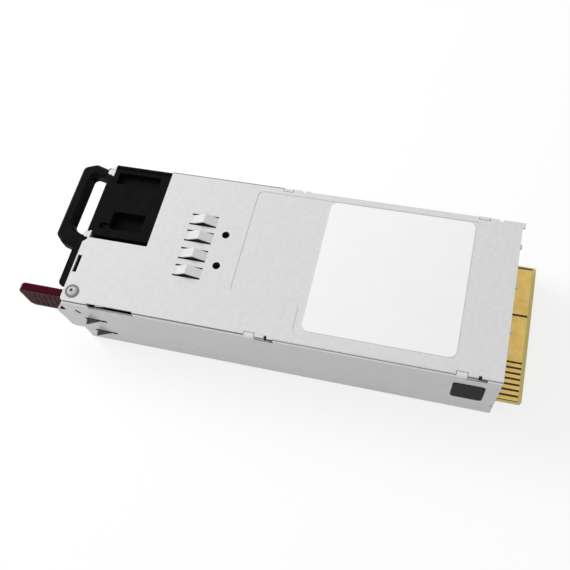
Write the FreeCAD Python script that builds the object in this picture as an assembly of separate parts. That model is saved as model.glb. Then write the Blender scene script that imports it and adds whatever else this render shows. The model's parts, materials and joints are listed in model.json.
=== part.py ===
import FreeCAD, Part
import math
import os

# Hot swap server power supply, millimetres. Origin: centre of the casing's bottom face.
# +Z up, the handle looks towards -Y, the edge connector towards +Y.

V = FreeCAD.Vector

# --- casing ---
CASE_W = 68.0
CASE_L = 176.0
CASE_H = 39.0
SHEET = 0.8
BEND_R = 1.2
X_WALL = CASE_W / 2
X_IN = X_WALL - SHEET
Y_FRONT = -CASE_L / 2
Y_REAR = CASE_L / 2
Z_LID = CASE_H - SHEET
CUT = 1.0  # how far a cutter runs past the face it cuts

# --- ear of the near wall ---
EAR = [
    (Y_FRONT + 2.0, CASE_H - 1.1), (Y_FRONT - 0.2, CASE_H - 1.1), (Y_FRONT - 6.7, CASE_H - 11.6),
    (Y_FRONT - 5.7, 12.2), (Y_FRONT - 4.4, 11.0), (Y_FRONT + 2.0, 11.0),
]
EAR_R = [0.0, 0.6, 1.0, 0.8, 0.8, 0.0]
EAR_HOLE = [(Y_FRONT - 2.0, CASE_H - 5.4), (Y_FRONT - 4.9, CASE_H - 10.3), (Y_FRONT - 1.6, CASE_H - 10.0)]
EAR_HOLE_R = 0.3

# --- slots of the near wall ---
WINDOW_Y = (Y_FRONT + 11.0, Y_FRONT + 31.0)
WINDOW_Z = CASE_H - 3.4
WINDOW_NOTCH = 0.9  # depth of the cover's own notch above the window
DASH = [
    (Y_FRONT + 2.4, CASE_H - 8.9), (Y_FRONT + 3.5, CASE_H - 8.0), (Y_FRONT + 5.1, CASE_H - 10.6),
    (Y_FRONT + 4.0, CASE_H - 11.6),
]
HOOK_SLIT_H = 2.0
HOOK_SLIT_SWING = 1.4  # room ahead of a hook's tip, as it swings in
HOOK_SLIT_REAR = 1.2
REAR_NOTCH = (1.2, 9.3, 10.9)  # depth, low edge, high edge

# --- tabs that lock the cover to the walls ---
LOCK_Y = [-10.1, Y_REAR - 16.8]
LOCK_TAB_L = 4.0
LOCK_TAB_W = 1.4
LOCK_SLOT_L = 7.5
LOCK_SLOT_Z = CASE_H - 3.7
LOCK_HOOK_L = 4.0
LOCK_HOOK_H = 2.6
LOCK_NOTCH_R = 0.6
LOCK_GAP = 0.05

# --- inlet corner ---
INLET_X = -X_WALL + 37.7  # near edge of the cover's corner notch
INLET_Y = Y_FRONT + 27.5  # rear edge of the notch
NOTCH_R = 2.5
SHROUD_X = (-X_WALL + 1.0, -X_WALL + 35.5)
SHROUD_Y = (Y_FRONT + 1.0, Y_FRONT + 27.0)
SHROUD_Z = (2.0, CASE_H - 1.1)
SHROUD_WALL = 1.6
SHROUD_ROOF = 6.0
SHROUD_LIP_GAP = 0.1
SHROUD_R = 1.0
POCKET_FAR = (-X_WALL + 3.4, -X_WALL + 9.1, Y_FRONT + 3.0, Y_FRONT + 22.8, 3.0)
POCKET_NEAR = (-X_WALL + 23.0, -X_WALL + 31.6, Y_FRONT + 7.3, Y_FRONT + 22.0, 4.5)
POCKET_STEP = (-X_WALL + 29.1, -X_WALL + 32.0, Y_FRONT + 3.1, Y_FRONT + 7.3, 1.2)
POCKET_R = 0.8
RIM_X = (-X_WALL, -X_WALL + 1.4)
RIM_Z = (CASE_H - 3.4, CASE_H - 0.4)

# --- mains inlet socket, standard C14 pattern ---
SOCKET_X = -X_WALL + 18.0
SOCKET_Z = 16.5
SOCKET_W = 27.0
SOCKET_H = 19.8
SOCKET_DEPTH = 19.0
CAVITY_W = 24.4
CAVITY_H = 16.8
CAVITY_DEPTH = 16.0
CAVITY_CHAMFER = 4.6
SOCKET_FLANGE = 1.6
SOCKET_FLANGE_T = 1.2
BLADE_W = 2.0
BLADE_H = 4.0
BLADE_L = 12.0
BLADE_TAIL = 5.0
BLADE_SIDE = 7.0
BLADE_RISE = 2.0

# --- cover ---
LANCE_X = [-12.6, -4.7, 3.8, 11.8]
LANCE_RIDGE = [Y_FRONT + 48.7, Y_FRONT + 48.7, Y_FRONT + 48.7, Y_FRONT + 47.8]
LANCE_Y = (Y_FRONT + 42.2, Y_FRONT + 54.0)
LANCE_LIP = 1.4
LANCE_W = 4.0
LANCE_SLIT = 0.7
LANCE_H = 2.5
LANCE_T = 0.6
BAFFLE_HOLES_X = [-7.5, 7.0]
BAFFLE_HOLE_Y = Y_FRONT + 59.1
BAFFLE_HOLE_R = 1.6
COVER_SLOT = (X_WALL - 21.6, X_WALL - 13.5, Y_FRONT - 0.4, Y_FRONT + 1.4)
COVER_OVERHANG = 1.0
COVER_CORNER_R = 2.0
EDGE_GROOVE = (0.5, 0.3)  # depth and height of the groove along the cover's flat edges
RECESS = [
    (-X_WALL + 3.0, Y_FRONT + 67.5), (X_WALL - 17.0, Y_FRONT + 67.5), (X_WALL - 17.0, 8.0),
    (X_WALL - 4.5, 8.0), (X_WALL - 4.5, Y_REAR - 15.0), (-X_WALL + 3.0, Y_REAR - 15.0),
]
RECESS_R = 2.5
RECESS_D = 0.2
EDGE_ROUND = 0.7
ROUND_FROM_Y = LOCK_Y[0] + LOCK_TAB_L + LOCK_SLOT_L
CORNER_TAB = (-X_WALL + 0.4, -X_WALL + 2.7, 1.1)

# --- rating label and side patch, both blank ---
LABEL_X = (-X_WALL + 3.5, X_WALL - 6.0)
LABEL_Y = (11.3, Y_REAR - 17.8)
LABEL_R = 3.0
LABEL_T = 0.2
PATCH_Y = (Y_REAR - 17.2, Y_REAR - 5.0)
PATCH_Z = (14.3, 30.0)
PATCH_R = 1.6
PATCH_T = 0.2

# --- cover rivet ---
RIVET_XY = (X_WALL - 4.9, Y_FRONT + 3.1)
RIVET_R = 2.9
RIVET_FLANGE_T = 0.4
RIVET_DOME_R = 2.0
RIVET_RISE = 1.2
RIVET_BORE_R = 0.7
RIVET_BORE_D = 0.9
RIVET_SHANK_R = 1.3
RIVET_SHANK_Z = CASE_H - 2.4

# --- front panel ---
# where its top edge drops below the inlet and the cover's slot
PANEL_NOTCHES = [
    (-X_WALL + 5.6, -X_WALL + 34.0), (X_WALL - 22.6, X_WALL - 12.4),
]
PANEL_NOTCH_Z = CASE_H - 7.5
PANEL_EARS = [(-X_WALL + 2.4, -X_WALL + 5.2), (-X_WALL + 34.4, -X_WALL + 37.2)]
PANEL_EAR_L = 2.2
PANEL_EAR_T = 0.65
PANEL_EAR_R = 1.0
PANEL_R = 0.5  # lower corners of the panels, clear of the tray's bends
FLANGE_L = 5.6
FLANGE_X = (-X_WALL + 40.0, X_WALL - 1.0)
FLANGE_SLOT = (X_WALL - 23.0, X_WALL - 12.0, 1.8)
LEVER_SLOT_X = (X_WALL - 12.1, X_WALL - 0.6)
LEVER_SLOT_Z = (17.6, CASE_H - 2.4)
HEX_R = 1.75
HEX_PITCH = 4.0
FRONT_VENT_X = (-X_WALL + 39.5, X_WALL - 14.0)
FRONT_VENT_Z = (4.0, CASE_H - 5.0)
SIDE_VENT_X = (X_WALL - 10.6, X_WALL - 2.0)
SIDE_VENT_Z = (3.5, 15.5)
REAR_VENT_X = (-X_WALL + 3.0, X_WALL - 3.0)
REAR_VENT_Z = (13.5, CASE_H - 3.0)
REAR_HEX_R = 2.2
REAR_HEX_PITCH = 5.0

REAR_TABS_X = [-23.4, -6.0, 12.7, 21.5]
REAR_TAB = (1.6, 0.7, 1.2)  # width, reach, height

# --- bezel and handle, one moulding ---
BEZEL_X = (-X_WALL + 0.8, X_WALL - 7.0)
BEZEL_Z = (1.2, CASE_H - 1.5)
BEZEL_T = 5.0
BEZEL_INLET_T = 3.0
BEZEL_TOP_T = 1.6
BEZEL_TOP_Z = CASE_H - 8.4
BEZEL_STEP_X = -X_WALL + 35.2
BEZEL_R = 2.0
BEZEL_LOW_X = X_WALL - 12.4
BEZEL_BAR_Z = CASE_H - 2.6
GRILLE_RIB_X = (sum(FRONT_VENT_X) / 2 - 0.7, sum(FRONT_VENT_X) / 2 + 0.7)
GRILLE_RIB_Z = [13.2, 24.0]
GRILLE_RIB_T = 1.2
SOCKET_WINDOW_GAP = 0.4
HANDLE_Z = (CASE_H - 8.0, CASE_H - 1.5)
HANDLE_OUT = [
    (-X_WALL + 2.8, Y_FRONT), (-X_WALL + 0.1, Y_FRONT - 9.6), (-X_WALL + 2.4, Y_FRONT - 15.2),
    (-X_WALL + 37.4, Y_FRONT - 15.2), (-X_WALL + 41.0, Y_FRONT - 11.4), (-X_WALL + 43.8, Y_FRONT),
]
HANDLE_OUT_R = [0.0, 3.0, 2.6, 2.6, 3.0, 0.0]
HANDLE_IN = [
    (-X_WALL + 6.6, Y_FRONT + 2.0), (-X_WALL + 6.6, Y_FRONT - 4.0), (-X_WALL + 5.6, Y_FRONT - 9.7),
    (-X_WALL + 31.6, Y_FRONT - 9.7), (-X_WALL + 34.4, Y_FRONT - 7.0), (-X_WALL + 36.2, Y_FRONT - 3.0),
    (-X_WALL + 36.2, Y_FRONT + 2.0),
]
HANDLE_IN_R = [0.0, 2.0, 2.0, 2.0, 2.0, 1.0, 0.0]
HANDLE_BREAK = 1.2

# --- status light ---
LED_X = -X_WALL + 37.4
LED_Z = 6.0
LED_R = 1.3
LED_PROUD = 0.3
LED_L = 7.0

# --- release lever and its latch ---
PIVOT = (X_WALL - 5.0, Y_FRONT + 22.5)
PIVOT_R = 1.5
PIVOT_Z = (0.0, CASE_H - 1.6)
RUN_GAP = 0.05
LEVER_X = (X_WALL - 6.4, X_WALL - 3.0)
LEVER_Z = (19.2, CASE_H - 3.5)
LEVER_OUT = [
    (Y_FRONT - 23.6, 21.0), (Y_FRONT - 21.8, 19.2), (Y_FRONT + 24.0, 19.2),
    (Y_FRONT + 24.0, CASE_H - 3.5), (Y_FRONT - 21.4, CASE_H - 3.5), (Y_FRONT - 23.6, CASE_H - 6.2),
]
LEVER_R = [1.2, 1.2, 0.0, 0.0, 1.6, 1.6]
LEVER_EDGE = 0.4
HUB_R = 3.4
GRIP_Y = [Y_FRONT - 19.0, Y_FRONT - 16.6, Y_FRONT - 14.2, Y_FRONT - 11.8, Y_FRONT - 9.4]
GRIP_W = 0.7
GRIP_D = 0.15
GRIP_LEAN = 2.2
LATCH_T = 0.8
LATCH_NECK = [
    (Y_FRONT + 6.4, 9.6), (Y_FRONT + 13.4, 9.6), (Y_FRONT + 13.4, CASE_H - 19.0),
    (Y_FRONT + 18.0, CASE_H - 16.6), (Y_FRONT + 18.0, CASE_H - 7.0), (Y_FRONT + 6.4, CASE_H - 7.0),
]
HOOK_T = 0.8
HOOK_TOP = [23.35, 10.8]
HOOKS = [
    [
        (X_WALL - 2.8, Y_FRONT + 5.6), (X_WALL + 2.6, Y_FRONT + 6.1),
        (X_WALL, Y_FRONT + 12.2), (X_WALL - 2.8, Y_FRONT + 13.6),
    ],
    [
        (X_WALL - 2.8, Y_FRONT + 5.9), (X_WALL + 2.6, Y_FRONT + 6.4),
        (X_WALL, Y_FRONT + 13.2), (X_WALL - 2.8, Y_FRONT + 14.2),
    ],
]
LATCH_RIVETS = [(Y_FRONT + 10.0, CASE_H - 10.0), (Y_FRONT + 15.7, CASE_H - 12.6)]
LATCH_RIVET_R = 1.1
LATCH_RIVET_HEAD = 0.5
RIVET_HEAD_SHARE = 1.7  # head radius over shank radius
SPRING_WIRE_R = 0.3
SPRING_COIL_R = 2.1
SPRING_TURNS = 2
SPRING_SIDES = 6
SPRING_PITCH = 0.66
SPRING_Z = CASE_H - 3.14
SPRING_LEG_END = (X_WALL - 7.1, Y_FRONT + 12.5)
SPRING_LOW_LEG = 9.0
SPRING_WALL_GAP = 0.6

# --- fan ---
FAN_Z = CASE_H / 2
FAN_GAP = 1.5  # between the fan frame and the casing's top and bottom faces
FAN_SIDE = CASE_H - 2 * FAN_GAP
FAN_Y = (Y_FRONT + 27.6, Y_FRONT + 55.6)
FAN_CORNER_R = 2.5
DUCT_R = FAN_SIDE / 2 - 0.8
FAN_FLANGE = 3.5
FAN_WAIST = 1.6
FAN_HOLE = FAN_SIDE / 2 - 3.4
FAN_HOLE_R = 1.6
FAN_SCREW_HEAD = 1.4
HUB_OUT_R = 10.0
HUB_IN_R = 8.7
HUB_Y = (Y_FRONT + 28.6, Y_FRONT + 51.0)
HUB_FACE_T = 1.4
HUB_NOSE = 0.9
BLADES = 7
BLADE_TIP_R = DUCT_R - 0.6
BLADE_ROOT_R = 7.4
BLADE_CHORD = 17.0
BLADE_PITCH = 42.0
BLADE_T = 1.0
BLADE_CAMBER = 1.6
BLADE_MID_Y = Y_FRONT + 39.0
SHAFT_R = 1.0
SHAFT_Y = (Y_FRONT + 29.4, Y_FRONT + 52.8)
TUBE_R = 2.3
TUBE_Y = (Y_FRONT + 31.0, Y_FRONT + 53.4)
BASE_R = 9.4
BASE_T = 1.6
STRUTS = 4
STRUT_W = 2.0
STATOR_R = 7.9
STATOR_Y = (Y_FRONT + 33.0, Y_FRONT + 49.0)
STATOR_SLOTS = 4
STATOR_SLOT_W = 2.4
STATOR_SLOT_D = 4.2

# --- baffle behind the fan ---
BAFFLE_Y = FAN_Y[1]
BAFFLE_FLANGE_L = 7.0
BAFFLE_NOTCH_X = (-X_WALL + 2.0, -X_WALL + 13.0)
BAFFLE_NOTCH_Z = (9.0, 30.0)
BAFFLE_TAP_R = 1.2

# --- main circuit board ---
LAYOUT_H = 39.0  # casing height that the inner parts are drawn for
FIT_H = CASE_H / LAYOUT_H
PCB_Z = 7.4 * FIT_H
PCB_T = 1.6
PCB_TOP = PCB_Z + PCB_T
PCB_X = (-X_WALL + 2.0, X_WALL - 2.0)
PCB_Y = (Y_FRONT + 60.0, Y_REAR - 1.4)

# --- the inner parts are laid out on the board; places and sizes follow the board's smaller change ---
LAYOUT_W = 64.0
LAYOUT_L = 114.6
LAYOUT_AHEAD = 28.0  # from the board's front edge to the layout's zero
FIT = min((PCB_X[1] - PCB_X[0]) / LAYOUT_W, (PCB_Y[1] - PCB_Y[0]) / LAYOUT_L)
FIT_ALL = min(FIT, FIT_H)
LAYOUT_Y = PCB_Y[0] + LAYOUT_AHEAD * FIT

TONGUE_X = (-X_WALL + 3.4, X_WALL - 3.4)
TONGUE_Y = Y_REAR + 10.8
TONGUE_R = 1.2
TONGUE_SLIT_X = -7.4
TONGUE_SLIT_W = 0.6
TONGUE_SLIT_Y = (Y_REAR + 2.5, Y_REAR + 9.2)
PAD_T = 0.06
PAD_END = 1.5
POWER_PADS = [(-X_WALL + 4.7, -7.9), (-6.9, X_WALL - 20.8)]
SIGNAL_START = X_WALL - 20.0
SIGNAL_PITCH = 2.37
SIGNAL_W = 1.5
SIGNAL_COUNT = 7
PAD_Y0 = Y_REAR + 0.6
STANDOFF_XY = [
    (-X_WALL + 5.8, LAYOUT_Y - 2.4 * FIT), (X_WALL - 5.8, Y_FRONT + 64.0), (-X_WALL + 5.8, Y_REAR - 6.8),
    (X_WALL - 5.8, Y_REAR - 6.8),
]
STANDOFF_R = 2.9
STANDOFF_FOOT_R = 1.9
SCREW_HOLE_R = 1.6
SCREW_R = 1.5
SCREW_HEAD_R = 2.8
SCREW_HEAD_H = 1.8
FILM_T = 0.3
FILM_GAP = 0.4

# --- parts on the board: centre x, centre y, then their own sizes ---
SEAT_GAP = 0.08  # between a part and the round seat that holds it
EMI = (-15.0 * FIT, LAYOUT_Y - 13.0 * FIT)
EMI_R = (12.0 * FIT_ALL, 6.6 * FIT_ALL)
EMI_H = 10.0 * FIT_ALL
EMI_BASE = (24.0 * FIT, 14.0 * FIT, 2.0 * FIT_ALL)
EMI_WIRE = 1.4 * FIT_ALL
EMI_SADDLE_W = 9.0 * FIT_ALL
EMI_SADDLE_H = 2.2 * FIT_ALL
XCAP = (8.0 * FIT, LAYOUT_Y - 18.0 * FIT)
XCAP_SIZE = (18.0 * FIT, 9.0 * FIT, 16.0 * FIT_H)
YCAPS = [(4.2 * FIT, LAYOUT_Y - 9.0 * FIT), (13.0 * FIT, LAYOUT_Y - 9.0 * FIT)]
YCAP_R = 3.6 * FIT_ALL
YCAP_T = 3.0 * FIT_ALL
FUSE = (21.2 * FIT, LAYOUT_Y - 12.0 * FIT)
FUSE_R = 3.0 * FIT_ALL
FUSE_L = 20.0 * FIT
FUSE_CAP_L = 5.0 * FIT
FUSE_CLIP_T = 0.6
RELAY = (0.4 * FIT, LAYOUT_Y + 1.0 * FIT)
RELAY_SIZE = (9.0 * FIT, 14.0 * FIT, 15.0 * FIT_H)
PFC = (-18.0 * FIT, LAYOUT_Y + 10.5 * FIT)
PFC_R = (11.0 * FIT, 5.6 * FIT)
PFC_H = 13.0 * FIT_H
PFC_BASE_T = 1.6
PFC_WIRE = 1.3 * FIT
BULK = [(20.5 * FIT, LAYOUT_Y + 10.0 * FIT), (20.5 * FIT, LAYOUT_Y + 33.0 * FIT)]
BULK_R = 10.5 * FIT
BULK_H = 28.0 * FIT_H
BULK_LIP = 0.7
PRI_SINK_X = (0.5 * FIT, 6.0 * FIT)
PRI_SINK_Y = (LAYOUT_Y + 12.0 * FIT, LAYOUT_Y + 46.0 * FIT)
PRI_SINK_H = 26.0 * FIT_H
PRI_SINK_BASE = 2.0
PRI_FINS = 3
PRI_FIN_T = 0.9
PACK_T = 4.0 * FIT
PACK_W = 10.0 * FIT
PACK_H = 19.0 * FIT_H
PACK_Y = [LAYOUT_Y + 30.0 * FIT, LAYOUT_Y + 41.0 * FIT]
PACK_LEAD_H = 3.0
PACK_LEAD_PITCH = 2.5 * FIT
BRIDGE_Y = LAYOUT_Y + 22.5 * FIT
BRIDGE_W = 8.0 * FIT
BRIDGE_H = 20.0 * FIT_H
XFMR = (-17.5 * FIT, LAYOUT_Y + 42.0 * FIT)
XFMR_SIZE = (20.0 * FIT, 27.0 * FIT, 25.0 * FIT_H)
XFMR_WINDOW = 5.0 * FIT_ALL
XFMR_YOKE = 5.0 * FIT_ALL
XFMR_LIFT = 0.0
SEC_SINK_X = (-30.0 * FIT, -2.0 * FIT)
SEC_SINK_Y = (LAYOUT_Y + 59.0 * FIT, LAYOUT_Y + 73.0 * FIT)
SEC_SINK_H = 14.0 * FIT_H
SEC_FINS = 8
SEC_FIN_T = 1.0
SEC_BASE = 2.0
OUT_CAPS_X = [2.5 * FIT, 11.3 * FIT, 20.1 * FIT]
OUT_CAPS_Y = [LAYOUT_Y + 62.4 * FIT, LAYOUT_Y + 70.8 * FIT]
OUT_CAP_R = 4.0 * FIT
OUT_CAP_H = 13.0 * FIT_H
BUSBARS = [(-29.0 * FIT, -5.0 * FIT), (-1.0 * FIT, 23.0 * FIT)]
BUS_Y = (LAYOUT_Y + 75.0 * FIT, LAYOUT_Y + 78.0 * FIT)
BUS_H = 8.0 * FIT_H
BUS_SLOT_W = 1.4
CARD_X = 30.2 * FIT
CARD_T = 1.2
CARD_Y = (LAYOUT_Y + 46.0 * FIT, LAYOUT_Y + 76.0 * FIT)
CARD_H = 23.0 * FIT_H
CARD_CHIPS = [
    (LAYOUT_Y + 52.0 * FIT, 24.0 * FIT_H, 6.0 * FIT, 6.0 * FIT_H),
    (LAYOUT_Y + 62.0 * FIT, 25.0 * FIT_H, 9.0 * FIT, 9.0 * FIT_H),
    (LAYOUT_Y + 70.5 * FIT, 21.0 * FIT_H, 4.0 * FIT, 7.0 * FIT_H),
    (LAYOUT_Y + 56.0 * FIT, 15.5 * FIT_H, 7.0 * FIT, 4.0 * FIT_H),
]
CHIP_T = 1.2
STANDBY = (5.5 * FIT, LAYOUT_Y + 52.5 * FIT)
STANDBY_SIZE = (13.0 * FIT, 11.0 * FIT, 13.0 * FIT_H)
LEAD_R = 1.0
LEAD_SIDES = 8
LEAD_X = [-X_WALL + 5.0, -X_WALL + 7.6, -X_WALL + 10.2]
LEAD_Z = [20.0, 22.6, 25.2]
LEAD_TURN = 4.2
LEAD_END_Y = Y_FRONT + 62.0
LEAD_STEP_Y = 0.8


def box(x0, x1, y0, y1, z0, z1):
    return Part.makeBox(x1 - x0, y1 - y0, z1 - z0, V(x0, y0, z0))


def block(x, y, size, z0):
    return box(x - size[0] / 2, x + size[0] / 2, y - size[1] / 2, y + size[1] / 2, z0, z0 + size[2])


def cyl_z(x, y, z0, z1, r):
    return Part.makeCylinder(r, z1 - z0, V(x, y, z0), V(0, 0, 1))


def cyl_y(x, z, y0, y1, r):
    return Part.makeCylinder(r, y1 - y0, V(x, y0, z), V(0, 1, 0))


def cyl_x(y, z, x0, x1, r):
    return Part.makeCylinder(r, x1 - x0, V(x0, y, z), V(1, 0, 0))


def one(shapes):
    """Joins overlapping or touching solids into one clean solid."""
    joined = shapes[0]
    if len(shapes) > 1:
        joined = shapes[0].fuse(shapes[1:])
    return joined.removeSplitter()


def outline(points, radii, lift):
    """A closed wire through 2-D points with rounded corners; lift turns (a, b) into a 3-D vector."""
    if not isinstance(radii, (list, tuple)):
        radii = [radii] * len(points)
    corners = []
    for i, point in enumerate(points):
        p = V(point[0], point[1], 0)
        before = V(points[i - 1][0], points[i - 1][1], 0) - p
        after = V(points[(i + 1) % len(points)][0], points[(i + 1) % len(points)][1], 0) - p
        before.normalize()
        after.normalize()
        if radii[i] <= 0:
            corners.append((p, None, p))
            continue
        half = before.getAngle(after) / 2
        run = radii[i] / math.tan(half)
        middle = before + after
        middle.normalize()
        near = p + middle * (radii[i] / math.sin(half) - radii[i])
        corners.append((p + before * run, near, p + after * run))
    edges = []
    for i, (start, near, end) in enumerate(corners):
        last = corners[i - 1][2]
        if (start - last).Length > 1e-6:
            edges.append(Part.makeLine(lift(last.x, last.y), lift(start.x, start.y)))
        if near is not None:
            arc = Part.Arc(lift(start.x, start.y), lift(near.x, near.y), lift(end.x, end.y))
            edges.append(arc.toShape())
    return Part.Wire(edges)


def prism_z(points, radii, z0, z1):
    wire = outline(points, radii, lambda a, b: V(a, b, z0))
    return Part.Face(wire).extrude(V(0, 0, z1 - z0))


def prism_x(points, radii, x0, x1):
    wire = outline(points, radii, lambda a, b: V(x0, a, b))
    return Part.Face(wire).extrude(V(x1 - x0, 0, 0))


def prism_y(points, radii, y0, y1):
    wire = outline(points, radii, lambda a, b: V(a, y0, b))
    return Part.Face(wire).extrude(V(0, y1 - y0, 0))


def rect(a0, a1, b0, b1):
    return [(a0, b0), (a1, b0), (a1, b1), (a0, b1)]


def edges_along(shape, axis, pick):
    """Straight edges parallel to an axis (0, 1 or 2) whose middle passes the test."""
    found = []
    for edge in shape.Edges:
        if edge.Curve.TypeId != "Part::GeomLine":
            continue
        run = edge.Vertexes[1].Point - edge.Vertexes[0].Point
        spread = [abs(run.x), abs(run.y), abs(run.z)]
        if spread[axis] > 0.999 * run.Length and pick(edge.CenterOfMass):
            found.append(edge)
    return found


def honeycomb(x_range, z_range, y0, y1, hex_r=HEX_R, pitch=HEX_PITCH):
    """Hexagonal cutters in staggered rows."""
    cutters = []
    row_pitch = pitch * math.sqrt(3) / 2
    rows = int((z_range[1] - z_range[0] - 2 * hex_r) / row_pitch) + 1
    z_start = (sum(z_range) - (rows - 1) * row_pitch) / 2
    columns = int((x_range[1] - x_range[0] - 2 * hex_r) / pitch) + 1
    for row in range(rows):
        count = columns - row % 2
        x_start = (sum(x_range) - (count - 1) * pitch) / 2
        for column in range(count):
            x = x_start + column * pitch
            z = z_start + row * row_pitch
            points = []
            for k in range(6):
                turn = math.radians(60 * k + 30)
                points.append((x + hex_r * math.cos(turn), z + hex_r * math.sin(turn)))
            cutters.append(prism_y(points, 0, y0, y1))
    return cutters


# ---------------------------------------------------------------- casing

def chassis_tray():
    outer = prism_y(rect(-X_WALL, X_WALL, 0, Z_LID), [BEND_R, BEND_R, 0, 0], Y_FRONT, Y_REAR)
    inner = rect(-X_IN, X_IN, SHEET, Z_LID + CUT)
    bend_in = BEND_R - SHEET
    tray = outer.cut(prism_y(inner, [bend_in, bend_in, 0, 0], Y_FRONT - CUT, Y_REAR + CUT))
    adds = [prism_x(EAR, EAR_R, X_IN, X_WALL)]
    cuts = [prism_x(EAR_HOLE, EAR_HOLE_R, X_IN - CUT, X_WALL + CUT)]
    cuts.append(prism_x(DASH, 0.2, X_IN - CUT, X_WALL + CUT))
    cuts.append(box(X_IN - CUT, X_WALL + CUT, WINDOW_Y[0], WINDOW_Y[1], WINDOW_Z, Z_LID + CUT))
    for points, top in zip(HOOKS, HOOK_TOP):
        z = top - HOOK_T / 2
        slit = rect(points[1][1] - HOOK_SLIT_SWING, points[3][1] + HOOK_SLIT_REAR,
                    z - HOOK_SLIT_H / 2, z + HOOK_SLIT_H / 2)
        cuts.append(prism_x(slit, 0.4, X_IN - CUT, X_WALL + CUT))
    for side in (1, -1):
        cuts.append(side_box(side, X_IN - CUT, X_WALL + CUT, Y_REAR - REAR_NOTCH[0], Y_REAR + CUT,
                             REAR_NOTCH[1], REAR_NOTCH[2]))
        for y in LOCK_Y:
            slot_y = y + LOCK_TAB_L
            adds.append(side_box(side, X_WALL - LOCK_TAB_W, X_WALL, y + LOCK_GAP, slot_y - LOCK_GAP,
                                 Z_LID - SHEET, CASE_H))
            cuts.append(side_box(side, X_IN - CUT, X_WALL + CUT, slot_y, slot_y + LOCK_SLOT_L,
                                 LOCK_SLOT_Z, Z_LID + CUT))
    cuts.append(box(-X_WALL - CUT, -X_IN + 0.01, SHROUD_Y[0] - 1.2, INLET_Y, RIM_Z[0], Z_LID + CUT))
    for x, y in STANDOFF_XY:
        cuts.append(cyl_z(x, y, -CUT, SHEET + CUT, STANDOFF_FOOT_R))
    cuts.append(cyl_z(PIVOT[0], PIVOT[1], -CUT, SHEET + CUT, PIVOT_R))
    return one([tray] + adds).cut(cuts).removeSplitter()


def side_box(side, x0, x1, y0, y1, z0, z1):
    """A box on the +X side, or its mirror on the -X side."""
    if side > 0:
        return box(x0, x1, y0, y1, z0, z1)
    return box(-x1, -x0, y0, y1, z0, z1)


def lance(x, ridge_y):
    """One bridge of sheet, pushed up between two slits."""
    top = [(LANCE_Y[0], CASE_H), (LANCE_Y[0] + LANCE_LIP, CASE_H), (ridge_y, CASE_H + LANCE_H),
           (LANCE_Y[1], CASE_H)]
    under = [(a, b - LANCE_T) for a, b in reversed(top)]
    radii = [0, 0.5, 0.5, 0, 0, 0.4, 0.4, 0]
    return prism_x(top + under, radii, x - LANCE_W / 2, x + LANCE_W / 2)


def top_cover():
    front = Y_FRONT - COVER_OVERHANG
    flat_half = prism_z(rect(-X_WALL, X_WALL, front, ROUND_FROM_Y), [0, COVER_CORNER_R, 0, 0], Z_LID, CASE_H)
    rear_half = box(-X_WALL, X_WALL, ROUND_FROM_Y, Y_REAR, Z_LID, CASE_H)
    long_edges = edges_along(rear_half, 1, lambda c: c.z > CASE_H - 0.01)
    plate = one([flat_half, rear_half.makeFillet(EDGE_ROUND, long_edges)])
    bulge = prism_z(RECESS, RECESS_R + RECESS_D, Z_LID - RECESS_D, Z_LID)
    plate = one([plate, bulge]).cut(prism_z(RECESS, RECESS_R, CASE_H - RECESS_D, CASE_H + CUT))
    notch = [(-X_WALL - CUT, INLET_Y), (INLET_X, INLET_Y), (INLET_X, front + NOTCH_R),
             (INLET_X + NOTCH_R, front), (INLET_X + NOTCH_R, front - CUT), (-X_WALL - CUT, front - CUT)]
    cuts = [prism_z(notch, [0, 0.6, 1.0, 1.0, 0, 0], Z_LID - CUT, CASE_H + CUT)]
    cuts.append(box(COVER_SLOT[0], COVER_SLOT[1], COVER_SLOT[2], COVER_SLOT[3], Z_LID - CUT, CASE_H + CUT))
    cuts.append(cyl_z(RIVET_XY[0], RIVET_XY[1], Z_LID - CUT, CASE_H + CUT, RIVET_SHANK_R))
    cuts.append(box(X_WALL - WINDOW_NOTCH, X_WALL + CUT, WINDOW_Y[0], WINDOW_Y[1], Z_LID - CUT, CASE_H + CUT))
    for side in (1, -1):
        cuts.append(side_box(side, X_WALL - EDGE_GROOVE[0], X_WALL + CUT, front - CUT, LOCK_Y[0],
                             Z_LID - CUT, Z_LID + EDGE_GROOVE[1]))
    for x in BAFFLE_HOLES_X:
        cuts.append(cyl_z(x, BAFFLE_HOLE_Y, Z_LID - CUT, CASE_H + CUT, BAFFLE_HOLE_R))
    for x in LANCE_X:
        half = LANCE_W / 2 + LANCE_SLIT
        cuts.append(box(x - half, x + half, LANCE_Y[0], LANCE_Y[1], Z_LID - CUT, CASE_H + CUT))
    hooks = []
    for side in (1, -1):
        for y in LOCK_Y:
            slot_y = y + LOCK_TAB_L
            cuts.append(side_box(side, X_WALL - LOCK_TAB_W - LOCK_GAP, X_WALL + CUT, y, slot_y,
                                 Z_LID - CUT, CASE_H + CUT))
            notch_y = slot_y + LOCK_HOOK_L + LOCK_NOTCH_R
            cuts.append(side_box(side, X_WALL - 1.2, X_WALL + CUT, notch_y - LOCK_NOTCH_R,
                                 notch_y + LOCK_NOTCH_R, Z_LID - CUT, CASE_H + CUT))
            hooks.append(side_box(side, X_IN + 0.1, X_WALL, slot_y + 0.1, slot_y + LOCK_HOOK_L,
                                  CASE_H - LOCK_HOOK_H, Z_LID))
    plate = plate.cut(cuts)
    adds = hooks + [lance(x, ridge) for x, ridge in zip(LANCE_X, LANCE_RIDGE)]
    adds.append(box(CORNER_TAB[0], CORNER_TAB[1], Y_REAR - CUT, Y_REAR + CORNER_TAB[2], Z_LID, CASE_H))
    return one([plate] + adds)


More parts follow.
